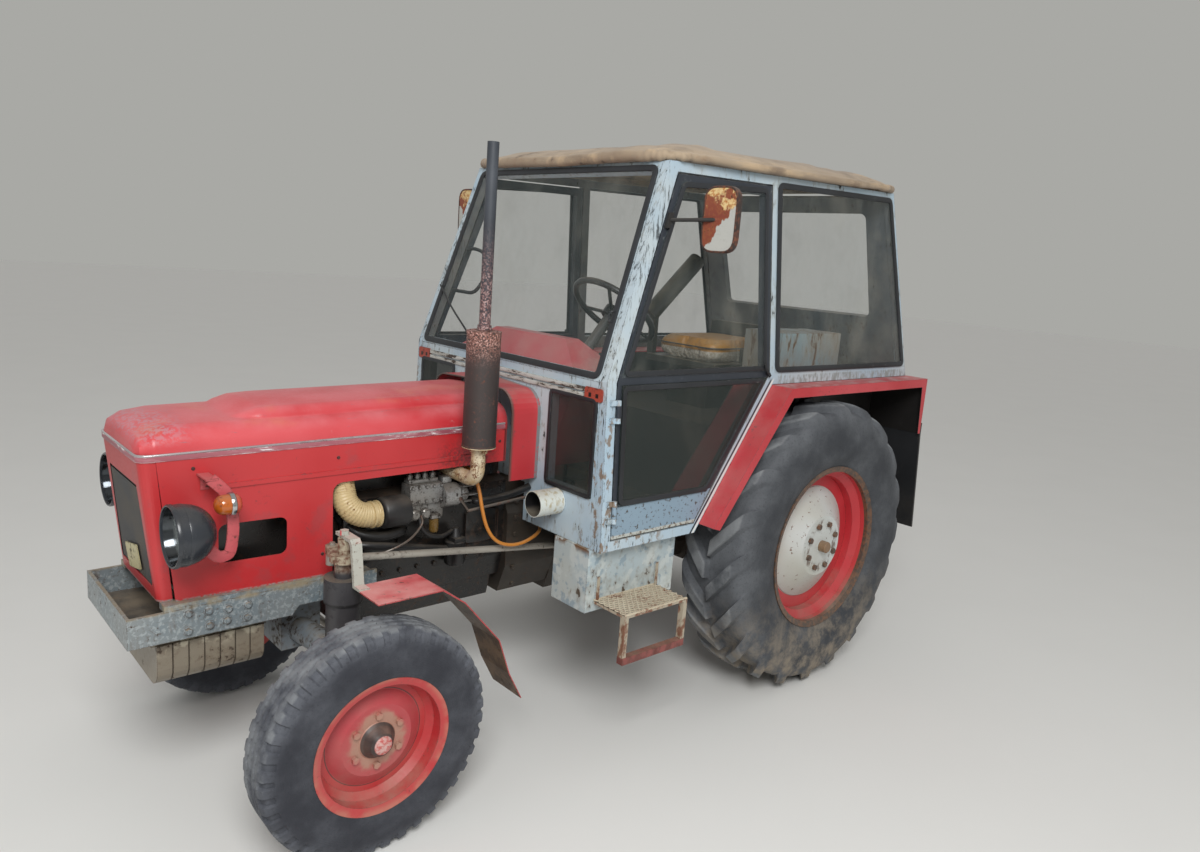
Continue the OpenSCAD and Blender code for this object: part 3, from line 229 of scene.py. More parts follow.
def skin(name, shells, finish, slot, body="chassis"):
    """One mesh from shells, each a grid of points in millimetres, rows by columns by three. Every cell
    becomes a four-sided face, and points that fall together, as where a tube closes or a dome meets its pole,
    are merged. A shell whose faces enclose a negative volume is turned, so that they look outwards."""
    points, cells, base = [], [], 0
    for shell in shells:
        rows, columns = shell.shape[:2]
        index = np.arange(rows * columns).reshape(rows, columns)
        cell = np.stack((index[:-1, :-1], index[1:, :-1], index[1:, 1:], index[:-1, 1:]), -1).reshape(-1, 4)
        flat = mm(shell).reshape(-1, 3)
        a, b, c, d = (flat[cell[:, k]] - flat.mean(0) for k in range(4))
        if (a * np.cross(b, c) + a * np.cross(c, d)).sum() < 0:
            cell = cell[:, ::-1]
        points.append(flat)
        cells.append(cell + base)
        base += len(flat)
    mesh = bpy.data.meshes.new(name)
    mesh.from_pydata(np.concatenate(points).tolist(), [], np.concatenate(cells).tolist())
    work = bmesh.new()
    work.from_mesh(mesh)
    bmesh.ops.remove_doubles(work, verts=work.verts, dist=2e-6)
    work.to_mesh(mesh)
    work.free()
    mesh.polygons.foreach_set("use_smooth", np.ones(len(mesh.polygons), bool))
    mesh.set_sharp_from_angle(angle=np.radians(42))
    mesh.materials.append(finish.done())
    piece = bpy.data.objects.new(name, mesh)
    bpy.context.scene.collection.objects.link(piece)
    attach(piece, body)
    return piece


def unit(vectors):
    """The same vectors, one long."""
    return vectors / np.linalg.norm(vectors, axis=-1, keepdims=True)


def circle(radius, sides=16):
    """Outline of a circle, its last point the first again."""
    turn = np.linspace(0, 2 * np.pi, sides + 1)
    return radius * np.stack((np.cos(turn), np.sin(turn)), -1)


def smooth(points, steps=4):
    """A curve through the points: in each span the cubic whose slopes at its ends run between the
    neighbours."""
    p = np.asarray(points, float)
    slope, t = np.gradient(p, axis=0), np.linspace(0, 1, steps, endpoint=False)[None, :, None]
    a, b, u, v = (q[:, None] for q in (p[:-1], p[1:], slope[:-1], slope[1:]))
    spans = (2 * t ** 3 - 3 * t ** 2 + 1) * a + (t ** 3 - 2 * t ** 2 + t) * u
    spans = spans + (3 * t ** 2 - 2 * t ** 3) * b + (t ** 3 - t ** 2) * v
    return np.concatenate((spans.reshape(-1, 3), p[-1:]))


def carried(path, outline, normal=(0, 0, 1), swell=1):
    """An outline carried along a path. Its first coordinate lies across the path and its second along the
    normal, made square to the path. At a bend the ring lies on the mitre, drawn out by one over the cosine of
    half the bend. Swell scales each ring. An open path's ends are closed on the path itself."""
    path = np.asarray(path, float)
    ring = np.allclose(path[0], path[-1])
    steps = unit(np.diff(path, axis=0))
    before = np.concatenate((steps[-1:] if ring else steps[:1], steps))
    after = np.concatenate((steps, steps[:1] if ring else steps[-1:]))
    way = unit(before + after)
    across = unit(np.cross(way, normal))
    above = np.cross(across, way)
    across = across / (way * after).sum(1, keepdims=True)
    spread = np.broadcast_to(swell, len(path))[:, None, None]
    grid = path[:, None] + spread * (outline[None, :, :1] * across[:, None] + outline[None, :, 1:]
                                     * above[:, None])
    foot, tip = (np.broadcast_to(path[end], (1, *grid.shape[1:])) for end in (0, -1))
    return grid if ring else np.concatenate((foot, grid, tip))


hose_route = [[1578, 132.6, 1080], [1578, 160, 1079], [1578, 192, 1076], [1577, 222, 1066], [1576, 250, 1048],
              [1575, 272, 1024], [1574, 288, 994], [1572, 297, 960], [1566, 302, 924], [1556, 305, 886],
              [1540, 306, 850], [1517, 306, 818], [1486, 305, 793], [1450, 304, 778], [1412, 303, 771],
              [1373, 301, 771], [1335, 297, 778], [1300, 289, 787], [1270, 274, 795], [1250, 254, 801],
              [1241, 234, 804], [1240, 212, 804]]
hose_line = smooth(hose_route, 3)
hose_orange = weathered("orange_hose", "c8812e", "b8763a", "6a4a2c", 0.3, size=0.01, edge=0, dusty=0.4,
                        rough=(0.35, 0.7))
hose = skin("fuel_hose", [carried(hose_line, circle(7, 12), (1, 0, -1))], hose_orange, "rubber")
laid = mm(hose_line)
float(along(laid)[-1])

# Gearbox, rear axle housing and trumpets
# Bare castings bolted end to end, brown and black with old oil and field dust. They carry the cab, the lift
# and the rear wheels.


def paint_node(name, finish):
    """Puts a finish on every face of a CAD node."""
    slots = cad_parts[name].data.materials
    for i in range(len(slots)):
        slots[i] = finish.done()


def turned(profile, start, axis, sides=24):
    """A body of revolution: a profile of distance along an axis and of radius, turned about the axis from its
    start."""
    axis = unit(np.asarray(axis, float))
    side = unit(np.cross(axis, (0.31, 0.52, 0.79)))
    other = np.cross(axis, side)
    (along, radius), turn = np.transpose(np.asarray(profile, float)), np.linspace(0, 2 * np.pi,
                                                                                  sides + 1)[None, :, None]
    return np.asarray(start, float) + along[:, None,
                                            None] * axis + radius[:, None,
                                                                  None] * (np.cos(turn) * side + np.sin(turn)
                                                                           * other)


def plate(width, height, corner=3, steps=3):
    """Outline of a rectangle with rounded corners, its last point the first again."""
    turn = np.linspace(0, np.pi / 2, steps)[None, :] + np.arange(4)[:, None] * np.pi / 2
    sign = np.array(((1, 1), (-1, 1), (-1, -1), (1, -1)))[:, None, :]
    points = (sign * (width / 2 - corner, height / 2 - corner) + corner
              * np.stack((np.cos(turn), np.sin(turn)), -1)).reshape(-1, 2)
    return np.concatenate((points, points[:1]))


def block(low, high, corner=4):
    """A cast block between two corners, with rounded upright edges and its top and foot drawn in."""
    low, high = np.array(low, float), np.array(high, float)
    (x, y, _), (w, d, h) = (low + high) / 2, high - low
    share = np.array((0, corner / 2 / h, 1 - corner / 2 / h, 1))
    return carried([(x, y, low[2] + s * h) for s in share], plate(d, w, corner), (1, 0, 0),
                   1 - (share % 1 == 0) * corner / max(w, d))


def hexagons(places, axis, radius, height):
    """A hexagonal bolt head at each place, standing along the axis, its outer edge drawn in."""
    return [turned([(0, 0), (0, radius), (height * 0.75, radius), (height, radius * 0.8), (height, 0)], place,
                   axis, 6) for place in places]


iron = weathered("oily_castings", "282420", "3c352d", "2a1d15", 0.35, stain="4f3728", dust="6f6350",
                 dusty=0.4, low_dust=0.2, rough=(0.5, 0.85))
paint_node("transmission", iron)
for name in ("drawbar", "lower_links", "lift_arms", "lift_rods"):
    paint_node(name, weathered(name + "_iron", "3d3a38", "57504a", "6f4630", 0.5, low_dust=0.3))
flange_bolts = hexagons([(1332, 194, z) for z in range(560, 940, 70)], (0, 1, 0), 11, 10)
union = turned([(0, 0), (0, 12), (10, 12), (10, 10), (22, 10), (22, 0)], (1240, 190, 804), (0, 1, 0), 12)
skin("gearbox_bolts", flange_bolts + [union], iron, "cast_grey")

# Engine block
# A cast four-cylinder block over a pressed sump, black with oil. It stands open between the side panels.
soot = weathered("engine_block", "191817", "24211f", "3a281f", 0.4, stain="45301f", dust="5d5144", dusty=0.35,
                 rough=(0.3, 0.7))
paint_node("engine", soot)
covers = [block((x, side * 176 - 4, 760), (x + 150, side * 176 + 4, 890), 14) for side in (1, -1)
          for x in (1410, 1850)]
bolts = [bolt for side in (1, -1) for bolt in hexagons([(x, side * 172, z) for x in range(1400, 2050, 72)
                                                        for z in (706, 984)], (0, side, 0), 10, 9)]
skin("engine_bolts_and_covers", covers + bolts, soot, "black_metal")
paint_node("radiator", weathered("radiator_black", "1c1b1b", "262422", "3a3028", 0.4))

# Injection pump
# An aluminium pump with four steel delivery pipes, a governor behind it, a glass settling bowl below and a
# stop lever with its rod. It is bolted to the left side of the block.
cast_aluminium = weathered("pump_aluminium", "a3a4a4", "807d78", "2c2723", 0.5, size=0.012, stain="3a322c",
                           dust="7d7264", rough=(0.3, 0.65), metal=0.55)
# The engine block's left face, and the cab front's outer face
block_face, cab_face = 172.3, 1307
nuts = [(1724 + 31 * i, 196.3, 1052) for i in range(4)]
pump = skin("injection_pump", [block((1690, block_face, 905), (1841, 226, 969)),
                               block((1700, block_face, 966), (1837, 238, 1039)),
                               block((1710, block_face, 1036), (1829, 216, 1053)),
                               turned([(0, 0), (0, 44), (66, 44), (74, 36), (74, 30), (104, 30), (110, 24),
                                       (110, 0)], (1701, 218, 983), (-1, 0, 0), 28),
                               block((1714, 212, 908), (1754, 252, 925)),
                               block((1650, block_face, 1020), (1690, 214, 1052)),
                               *(turned([(0, 0), (0, 20), (13, 20), (19, 14), (19, 0)], (x, 226, 929),
                                        (0, 1, 0), 20) for x in (1768, 1812)),
                               *hexagons(nuts, (0, 0, 1), 11, 20),
                               *hexagons([(x, 238, z) for x in (1710, 1740, 1770, 1800, 1828)
                                          for z in (978, 1030)], (0, 1, 0), 6, 6),
                               *hexagons([(1640, 218 + 34 * np.cos(a), 983 + 34 * np.sin(a))
                                          for a in np.arange(6) * 1.047], (-1, 0, 0), 5, 80)], cast_aluminium,
            "steel")
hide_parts("engine_fittings")
pipe_steel = weathered("pipe_steel", "4e4a46", "6a6058", "6a4030", 0.5, size=0.01, edge=0, rough=(0.35, 0.7),
                       metal=0.5)
pipes = [smooth([(x, y, z + 14), (x, y, z + 34), (x, y - 12, z + 50), (x - 6, y - 40, z + 50),
                 (x - 6, 113.6, z + 38)]) for x, y, z in nuts]
pipes += [smooth([(1790, 240, 925), (1800, 262, 900), (1850, 262, 850), (1930, 240, 812), (2040, 196, 790)])]
rods = [[(1640, 222, 977), (1640, 262, 977), (1608, 266, 925)],
        [(1608, 266, 925), (1500, 290, 942), (cab_face, 330, 972)]]
skin("pump_pipes_and_rods", [carried(pipe, circle(4.2, 8), (1, 0, 0.2)) for pipe in pipes] +
     [carried(rod, circle(6, 10), (0.3, 0, 1)) for rod in rods], pipe_steel, "steel")
amber = weathered("bowl_glass", "8a6a2a", "6b5228", "2c261d", 0.2, size=0.008, edge=0, dusty=0.2,
                  rough=(0.08, 0.3), Alpha=0.75)
skin("settling_bowl", [turned([(0, 0), (0, 8), (4, 15), (10, 17), (52, 17), (56, 15), (56, 0)],
                              (1734, 236.3, 853), (0, 0, 1))], amber, "pane")

# Battery box
# A black sheet box on a base plate that lies across the two frame plates, behind the window of the side
# panel.
skin("battery_box", (block((2192, -232, 753), (2478, 232, 759), 3),
                     block((2196, -150, 757), (2474, 150, 1012), 8)), soot, "black_metal")

# Fuel filter, heater hose and return union
# A black canister under a bracket, a rubber hose to the cab's heater, and thin hoses along the block.
bay_black = weathered("bay_rubber", "151516", "1f1e1e", "3a3029", 0.25, edge=0.1, dusty=0.25,
                      rough=(0.4, 0.75))
hoses = [(smooth([(1562, 176, 950), (1562, 236, 950), (1548, 250, 951), (1500, 250, 950), (1400, 244, 956),
                  (cab_face, 238, 975)]), 14),
         (smooth([(1640, 214, 838), (1700, 240, 834), (1760, 250, 850), (1790, 246, 880), (1792, 236, 912)]),
          8), (smooth([(2052, 150, 830), (2000, 205, 838), (1900, 222, 822), (1800, 224, 800),
                       (1664, 214, 770)]), 15),
         (smooth([(2056, 120, 930), (2010, 190, 880), (1930, 214, 862), (1850, 205, 870), (1846, 172, 872)]),
          19)]
skin("bay_hoses_and_filter", [carried(line, circle(radius, 12), (0.2, 0, 1)) for line, radius in hoses]
     + [turned([(0, 0), (0, 30), (6, 38), (14, 40), (92, 40), (96, 36), (96, 28), (143, 12), (143, 0)],
               (1624, 214.3, 704), (0, 0, 1)), block((1600, block_face, 796), (1648, 250, 816)),
        turned([(0, 0), (0, 17), (66, 17), (66, 0)], (1562, block_face, 950), (0, 1, 0)),
        turned([(0, 0), (0, 12), (8, 12), (8, 10), (20, 10), (20, 0)], (1578, 112.6, 1080), (0, 1, 0), 12)],
     bay_black, "rubber")

# Air cleaner
# A black canister clipped to a cream ribbed hose, which turns up behind the side panel to the intake.
canister = skin("air_canister", [turned([(0, 0), (0, 40), (8, 54), (16, 56), (98, 56), (108, 50), (111, 41),
                                         (150, 41), (150, 0)], (1846, 238, 958), (1, 0, 0), 32),
                                 block((1876, block_face, 938), (1926, 200, 978))], bay_black, "black_metal")
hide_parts("air_intake")
lean = np.radians(24)
bend = np.linspace(0, np.pi / 2, 57)
ahead = np.concatenate((np.linspace(1968, 1994, 14), 1994.5 + 80 * np.sin(bend), np.full(24, 2074.5)))
rise = np.concatenate((np.zeros(14), 80 - 80 * np.cos(bend), np.linspace(82, 150, 24)))
elbow_line = np.stack((ahead, 238 - rise * np.sin(lean), 958 + rise * np.cos(lean)), -1)
rib_pitch = 9
ribs = 1 + 0.022 * np.cos(along(elbow_line) / rib_pitch * 2 * np.pi)
elbow = weathered("ribbed_cream", "cbb98f", "b8a071", "7d5a30", 0.36, size=0.012, edge=0, stain="8f6a35",
                  dust="9d8a66", dusty=0.4)
elbow.cover("7a4f3a", elbow.fine.rise(0.52, 0.62) * elbow.z.rise(1.03, 1.08) * 0.8)
skin("intake_elbow", [carried(elbow_line, circle(42.5, 28), (0, np.cos(lean), np.sin(lean)), ribs),
                      *(turned([(0, 41), (0, 47), (7, 47), (7, 41), (0, 41)], (x, 238, 958), (1, 0, 0), 28)
                        for x in (1962, 1984))], elbow, "rubber")

# Front frame and weights
# Folded plates, galvanised over old grey paint, with the bumper tray bolted between them. Slab weights hang
# under the tray.
zinc = weathered("galvanised_frame", "74838b", "8b9090", "4c3a2e", 0.36, size=0.01, stain="5c4a3c",
                 dust="8d7f6c", dusty=0.8, rough=(0.4, 0.8), metal=0.2)
zinc.cover("a3abad", zinc.noise(0.014, 5, 0.7, shift=9).rise(0.5, 0.6) * 0.85)
zinc.cover("3c322a", zinc.looks("Z").rise(0.6, 0.9) * zinc.z.rise(0.70, 0.68) * 0.85)
zinc.cover("a3967c", zinc.z.rise(0.738, 0.752) * zinc.noise(0.05, 5, shift=4).rise(0.35, 0.6) * 0.85)
zinc.cover("5d4634", zinc.noise(0.03, 5, stretch=(1, 1, 5), shift=7).rise(0.58, 0.72) * 0.6)
paint_node("front_frame", zinc)
frame_bolts = ((2587, 732), (2528, 728), (2469, 722), (2409, 722), (2588, 675), (2525, 680), (2473, 685),
               (2410, 681))
bolts = []
for side in (1, -1):
    for x, z in frame_bolts:
        washer = turned([(0, 0), (0, 16), (2, 16), (2.5, 15), (2.5, 0)], (x, side * 240, z), (0, side, 0), 18)
        bolts += [washer, *hexagons([(x, side * 242, z)], (0, side, 0), 11, 9)]
skin("frame_bolts", bolts, zinc, "galvanised")
slabs = weathered("weight_paint", "8c8678", "7b7264", "3c2f26", 0.45, stain="5c4a3a", dust="9a8d78",
                  dusty=0.6, low_dust=0.4)
slabs.cover("b9b29e", slabs.noise(0.05, 5, 0.6, shift=5).rise(0.5, 0.62) * slabs.z.rise(0.58, 0.63))
paint_node("front_weights", slabs)

# Front axle and steering
# A tubular axle with upright sleeves, the king pins in them, steering arms, drag link and tie rod.
axle = weathered("axle_grey", "8a949a", "6b747b", "37322e", 0.55, stain="5b4a3c", dust="8f8372", low_dust=0.3)
sleeve = abs(axle.y).rise(0.33, 0.35)
axle.cover(axle.mix("2c2f36", "403c3c", axle.cloud), sleeve)
axle.cover("1b1b1d", sleeve * axle.z.between(0.744, 0.752, 0.002))
axle.cover(axle.mix("8d8173", "5c4437", axle.fine.rise(0.4, 0.6)), axle.z.rise(0.84, 0.86))
paint_node("front_axle", axle)
for hand in ("left", "right"):
    steel = weathered("knuckle_steel_" + hand, "55534f", "6c6459", "5f4232", 0.45, low_dust=0.3)
    steel.cover(steel.mix("a39883", "6a4a3a", steel.fine.rise(0.42, 0.6)), steel.z.rise(0.84, 0.88))
    paint_node("knuckle_" + hand, steel)
for name in ("drop_arm_link", "drag_link", "tie_rod"):
    paint_node(name, weathered(name + "_steel", "b3aea4", "9a958b", "5d5148", 0.4, size=0.01, low_dust=0.2,
                               metal=0.3, rough=(0.35, 0.7)))

# Front wheels
# Pressed rims with dished discs and a conical hub cap, on narrow ribbed tyres. They lean out by two degrees.
track, wheelbase, front_z, camber = 628, 2170, 377.63, np.radians(2)


def wheel_points(radius, out, angle, side, lean, half_track, ahead, height):
    """Points given round a wheel's axle: radius from it, distance out from the wheel's middle, and angle from
    the top forwards. The wheel's lean, its side of the tractor and its place are then applied."""
    u, v = radius * np.cos(angle), out
    y, z = v * np.cos(lean) + u * np.sin(lean), u * np.cos(lean) - v * np.sin(lean)
    return np.stack(np.broadcast_arrays(ahead + radius * np.sin(angle), side * (half_track + y), height + z),
                    -1)


def rubber(name, fresh, dusty, low, high, side_dust, x, z, earth=0.0):
    """Tyre rubber: dark in its hollows, grey with dust where it runs on the ground, and brown with earth low
    down."""
    f = Finish(name, Specular_IOR_Level=0.3)
    fine, cloud = f.noise(0.008, 6, 0.7), f.noise(0.15, 5, 0.6)
    tread = f.away(x, z).rise(low, high)
    dust = (tread * 0.7 + (1 - tread) * side_dust + (cloud - 0.5) * 1.3).rise(0.1, 1.0)
    colour = f.mix(f.mix(fresh, dusty, dust), "232428", fine.rise(0.5, 0.75) * 0.5)
    colour = f.mix(colour, "85888a", f.away(x, z).rise(high - 0.006, high + 0.002) * cloud.rise(0.35, 0.6)
                   * 0.7)
    if earth:
        colour = f.mix(colour, "8a8072",
                       f.z.rise(0.60, 0.08) * f.noise(0.07, 5, 0.65, shift=2).rise(0.35, 0.68) * earth)
    rings = f.node("Math", {"operation": "SINE"}, {0: f.away(x, z) * 900}) * (1 - tread)
    f.close(colour, 0.6 + dust * 0.3, 0.0, fine + f.noise(0.03, 3) * 0.6 + rings * 0.12, 0.0009)
    return f


def rounded_section(profile, smear=7.0):
    """Arc length along a profile of columns, and each column smoothed by a bell curve of the given width
    along it."""
    profile = np.asarray(profile, float)
    length = along(profile[:, :2])
    s = np.linspace(0, length[-1], 401)
    columns = np.stack([np.interp(s, length, column) for column in profile.T])
    weight = np.exp(-((s[:, None] - s[None, :]) / smear) ** 2)
    mirrored = np.exp(-((s[:, None] + s[None, :]) / smear) ** 2)
    flip = np.array([-1 if column[0] == 0 else 1 for column in profile.T])
    total = (weight + mirrored).sum(1)
    return s, np.stack([(weight @ column + f * (mirrored @ column)) / total
                        for column, f in zip(columns, flip)])


def closed(*grids):
    """Each grid with its first row again at its end."""
    return [np.concatenate((grid, grid[:1])) for grid in grids]


front_profile = [(0, 376), (53, 376), (70, 369), (78, 345), (84, 315), (86, 285), (85, 254), (82, 226),
                 (72, 209)]
arc, (half_at, radius_at) = rounded_section(front_profile, 5)
span = arc[-1] * np.concatenate((np.linspace(-1, -0.46, 18), np.linspace(-0.44, 0.44, 73),
                                 np.linspace(0.46, 1, 18)))
turn = np.linspace(0, 2 * np.pi, 433)[None, :]
half, radius = (np.interp(np.abs(span), arc, column)[:, None] for column in (half_at, radius_at))
# Three grooves that step from side to side, and notches that cut the shoulders into blocks, on each side in
# turn
step = 2.5 * np.sign(np.sin(turn * 48))
place = half * np.sign(span)[:, None] + step * (half < 45)
groove = np.exp(-(place / 4) ** 4) + np.exp(-((np.abs(place) - 27) / 4) ** 4)
notch = (np.sin(turn * 40 + np.sign(span)[:, None] * 1.3) > 0.15) * np.clip((half - 46) / 6, 0,
                                                                            1) * np.clip((radius - 334) / 14,
                                                                                         0, 1)
radius = radius - (8 * groove * (radius > 370) + 10 * notch)
half = half - 3 * notch
out, radius = closed(half * np.sign(span)[:, None], radius)
for side, hand in ((1, "left"), (-1, "right")):
    finish = rubber("front_tyre_rubber_" + hand, "2f3138", "62656c", 0.31, 0.368, 0.3, wheelbase / 1000,
                    front_z / 1000)
    tyre = skin("front_tyre_" + hand + "_rubber",
                [wheel_points(radius, out, turn, side, camber, track, wheelbase, front_z)], finish, "tyre",
                "wheel_front_" + hand)
    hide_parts("front_tyre_" + hand)
    rim = weathered("front_rim_" + hand, "b22a30", "bb3a3d", "6a2f2a", 0.3, size=0.012, stain="8a3a34",
                    dust="a08374", low_dust=0.3)
    out_y, away = rim.y * side - track / 1000, rim.away(wheelbase / 1000, front_z / 1000)
    rim.cover(rim.mix("b3444a", "ab3a40", rim.cloud), away.rise(0.161, 0.158))
    rim.cover("a98370", (away.rise(0.118, 0.06) + rim.noise(0.05, 5).rise(0.7, 0.3) * away.rise(0.15, 0.07)
                         - 0.4).rise(0.0, 1.0) * 0.9)
    rim.cover("b96f5d", away.rise(0.205, 0.224) * rim.noise(0.06, 4).rise(0.35, 0.6) * 0.7)
    rim.cover("431f1e", away.between(0.1595, 0.1625))
    rim.cover("262122", away.rise(0.0595, 0.0575) * out_y.rise(0.03, 0.034))
    rim.cover(rim.mix("c9a39d", "b8504c", rim.fine.rise(0.4, 0.6)),
              out_y.rise(0.066, 0.069) * away.rise(0.031, 0.028))
    paint_node("front_rim_" + hand, rim)

# Rear wheels
# Large tyres whose slanting lugs meet the middle of the tread in turn from either side. The rims are red, and
# their domed centres are pale blue-white with rusty nuts.
rear_track, rear_z = 636, 664
lug_pitch, lug_slant = 360 / 20, 21.5
# Half width, radius on a lug, radius between lugs, and share of the lugs' backward slant
rear_profile = [(0, 662, 628, 0), (12, 664, 627, 0.06), (106.6, 663, 627, 0.5), (128, 658, 624, 0.62),
                (146, 640, 614, 0.72), (159, 603, 592, 0.8), (166.5, 570, 568, 0.86), (172, 511, 511, 0.94),
                (169.5, 456, 456, 0.98), (164, 420, 420, 1), (150, 386, 386, 1), (141, 361, 361, 1)]
arc, (half_at, lug_at, hollow_at, slant_at) = rounded_section(rear_profile)
span = arc[-1] * np.concatenate((np.linspace(-1, -0.3, 30), np.linspace(-0.29, -0.04, 12),
                                 (-0.032, -0.024, -0.016, -0.008, 0, 0.008, 0.016, 0.024, 0.032),
                                 np.linspace(0.04, 0.29, 12), np.linspace(0.3, 1, 30)))
half, on_lug, hollow, slant = (np.interp(np.abs(span), arc, column)[:, None]
                               for column in (half_at, lug_at, hollow_at, slant_at))
# Shares of one pitch, close together where the lugs' flanks stand
share = 0.5 - np.array((0.5, 0.44, 0.4, 0.375, 0.36, 0.34, 0.31, 0.29, 0.27, 0.245, 0.2, 0.16, 0.13, 0.11,
                        0.09, 0.07, 0.04))
share = np.concatenate((-share[:0:-1], share))[:-1]
lugs, shares = np.meshgrid(np.arange(20), share, indexing="ij")
lugs, shares = np.append(lugs.ravel(), 20)[None, :], np.append(shares.ravel(), share[0])[None, :]
from_lug = np.where(span[:, None] >= 0, np.abs(shares), 0.5 - np.abs(shares))
half_lug, flank_width = 0.225, 0.07
flank = np.clip((half_lug - from_lug) / flank_width, 0, 1)
flank = flank * flank * (3 - 2 * flank) * np.clip((np.abs(half) - 1) / 8, 0, 1)
radius = hollow + (on_lug - hollow) * flank
# A raised ring on the sidewall
radius = radius + 3 * np.exp(-((radius - 408) / 5) ** 2)
angle = np.radians((lugs + shares + 0.135) * lug_pitch + (0.5 - slant) * lug_slant)
out, radius, angle = closed(half * np.sign(span)[:, None], radius, angle)
for side, hand in ((1, "left"), (-1, "right")):
    finish = rubber("rear_tyre_rubber_" + hand, "36393e", "63666a", 0.5, 0.655, 0.4, 0, rear_z / 1000, 1.0)
    tyre = skin("rear_tyre_" + hand + "_rubber",
                [wheel_points(radius, out, angle, side, 0, rear_track, 0, rear_z)], finish, "tyre",
                "wheel_rear_" + hand)
    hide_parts("rear_tyre_" + hand)
    rim = weathered("rear_rim_" + hand, "b52b33", "c23c42", "5b2a26", 0.25, stain="7a2c2a", dust="8f8274",
                    low_dust=0.2)
    away, out_y = rim.away(0, rear_z / 1000), rim.y * side - rear_track / 1000
    dome = away.rise(0.266, 0.263) * out_y.rise(0.024, 0.027)
    rim.cover("cf3f3c", away.rise(0.345, 0.37) * 0.7)
    rim.cover(rim.mix(rim.mix("c4c8c6", "b3b3a8", rim.cloud.rise(0.3, 0.7)), "6b4a3a",
                      rim.fine.rise(0.62, 0.66)), dome)
    rim.cover("5a4030", dome * (away.between(0.088, 0.122, 0.01)
                                * rim.noise(0.03, 5, 0.65, (1, 1, 2)).rise(0.5, 0.62)) * 0.8)
    rim.cover(rim.mix("6b4a34", "453a33", rim.fine.rise(0.4, 0.6)), out_y.rise(0.1255, 0.127))
    rim.cover("80664c", away.rise(0.046, 0.043) * out_y.rise(0.126, 0.128))
    paint_node("rear_rim_" + hand, rim)

# Front wings
# Strip steel wings bolted to the tops of the king pins, red above and dark below, each on a strap that is
# peeling to bare metal.
wing = weathered("front_wing_red", "bd3f45", "c85a5e", "5f332c", 0.46, size=0.014, stain="a5504c",
                 dust="d6a29c", dusty=0.7)
wing.cover(wing.mix("4f3b2b", "755c44", wing.noise(0.05, 5, 0.65, shift=6).rise(0.4, 0.62)),
           wing.looks("Z").rise(-0.1, -0.35))
strap = wing.x.between(2.141, 2.182) * abs(wing.y).rise(0.545, 0.543)
wing.cover(wing.mix("aeb0a6", "6b5646", (wing.fine + wing.edges() * 0.15).rise(0.6, 0.68)), strap)
for hand in ("left", "right"):
    paint_node("front_fender_" + hand, wing)

# Nose and side panels
# Red pressed sheets that meet at a slanting seam. The nose holds a fine wire mesh, with a blank cream plate
# low in it.
red = weathered("body_red", "b3272b", "bb3538", "6b4545", 0.2, size=0.01, edge=0.12, stain="8d3236",
                dust="b99a92", dusty=0.3, rough=(0.36, 0.62))
on_side = abs(red.y).rise(0.19, 0.2)
red.cover("8a4548", red.noise(0.09, 5, 0.6, shift=6).rise(0.56, 0.7) * 0.35)
red.cover("8f8a86", red.z.rise(0.776, 0.770) * red.fine.rise(0.35, 0.6))
# Painted shade: the panels' faces that look in towards the middle of the tractor are painted near black.
shaded_inner_faces = (red.looks("Y") * red.y).rise(-0.04, -0.12)
red.cover("171314", shaded_inner_faces)
red.cover("6a2a2c", on_side * red.x.between(1.50, 1.73, 0.05) * red.z.rise(1.05, 1.1) * red.z.rise(1.22, 1.14)
          * red.fine.rise(0.4, 0.6) * 0.8)
red.cover("4e2020", abs(red.y).rise(0.05, 0.06) * red.x.between(1.4525, 1.4605, 0.002) * 0.9)
paint_node("grille_housing", red)
paint_node("side_panels", red)
paint_node("grille", weathered("grille_black", "1d1d20", "28282b", "5a5148", 0.3))
rake = np.arctan2(48, 454)
nose_up, nose_out = np.array((np.sin(rake), 0, np.cos(rake))), np.array((np.cos(rake), 0, -np.sin(rake)))
across, height = np.meshgrid(np.linspace(-1, 1, 3), np.linspace(44, 352, 3), indexing="ij")
half_width = np.interp(height, (40, 60, 352), (160, 167, 149)) - 2
nose_foot = np.array((2661, 0, 768))
mesh_face = nose_foot + height[..., None] * nose_up - nose_out * 1.5
mesh_face[..., 1] = across * half_width
wire = Finish("wire_mesh")
# Painted shade: between the threads the mesh is painted near black, standing in for the shade behind it.
threads = [wire.node("Math", {"operation": "SINE"}, {0: value * 900}).rise(-0.2, 0.7)
           for value in (wire.y + wire.z, wire.y - wire.z)]
dirt = wire.noise(0.1, 5).rise(0.3, 0.7)
wire.close(wire.mix("161618", wire.mix("56585a", "6a645c", dirt), threads[0] | threads[1]), 0.6, 0.3,
           threads[0] | threads[1], 0.001)
skin("grille_mesh", [np.concatenate((mesh_face, mesh_face[::-1] - nose_out * 1.5, mesh_face[:1]))], wire,
     "black_metal")
cream = weathered("blank_plate", "cfc79a", "bdb387", "3a3024", 0.5, size=0.012, stain="7a6a48", dusty=0.2)
plate_at = nose_foot + nose_up * 92 + nose_out * 3 + np.outer((0, 0.2, 3), nose_out)
skin("front_plate", [carried(plate_at, plate(150, 82, 6), nose_up + (0, -0.22, 0))], cream, "weight_paint")
nose_tip = 2709


def panel_side(x):
    """How far out from the middle plane the side panels stand at a place ahead of the rear axle."""
    return 212 + (nose_tip - x) * 0.0445


screws = [(x, panel_side(x), z) for x, z in ((2560, 1178), (2110, 1172), (2160, 846), (1480, 1180),
                                             (1480, 1060))]
skin("panel_screws", [turned([(0, 0), (0, 6), (2.4, 5), (3, 0)], (x, side * y, z), (0, side, 0), 12)
                      for x, y, z in screws for side in (1, -1)],
     weathered("screw_dark", "5a2a2a", "4a2a28", "2c2220", 0.5, size=0.006), "steel")

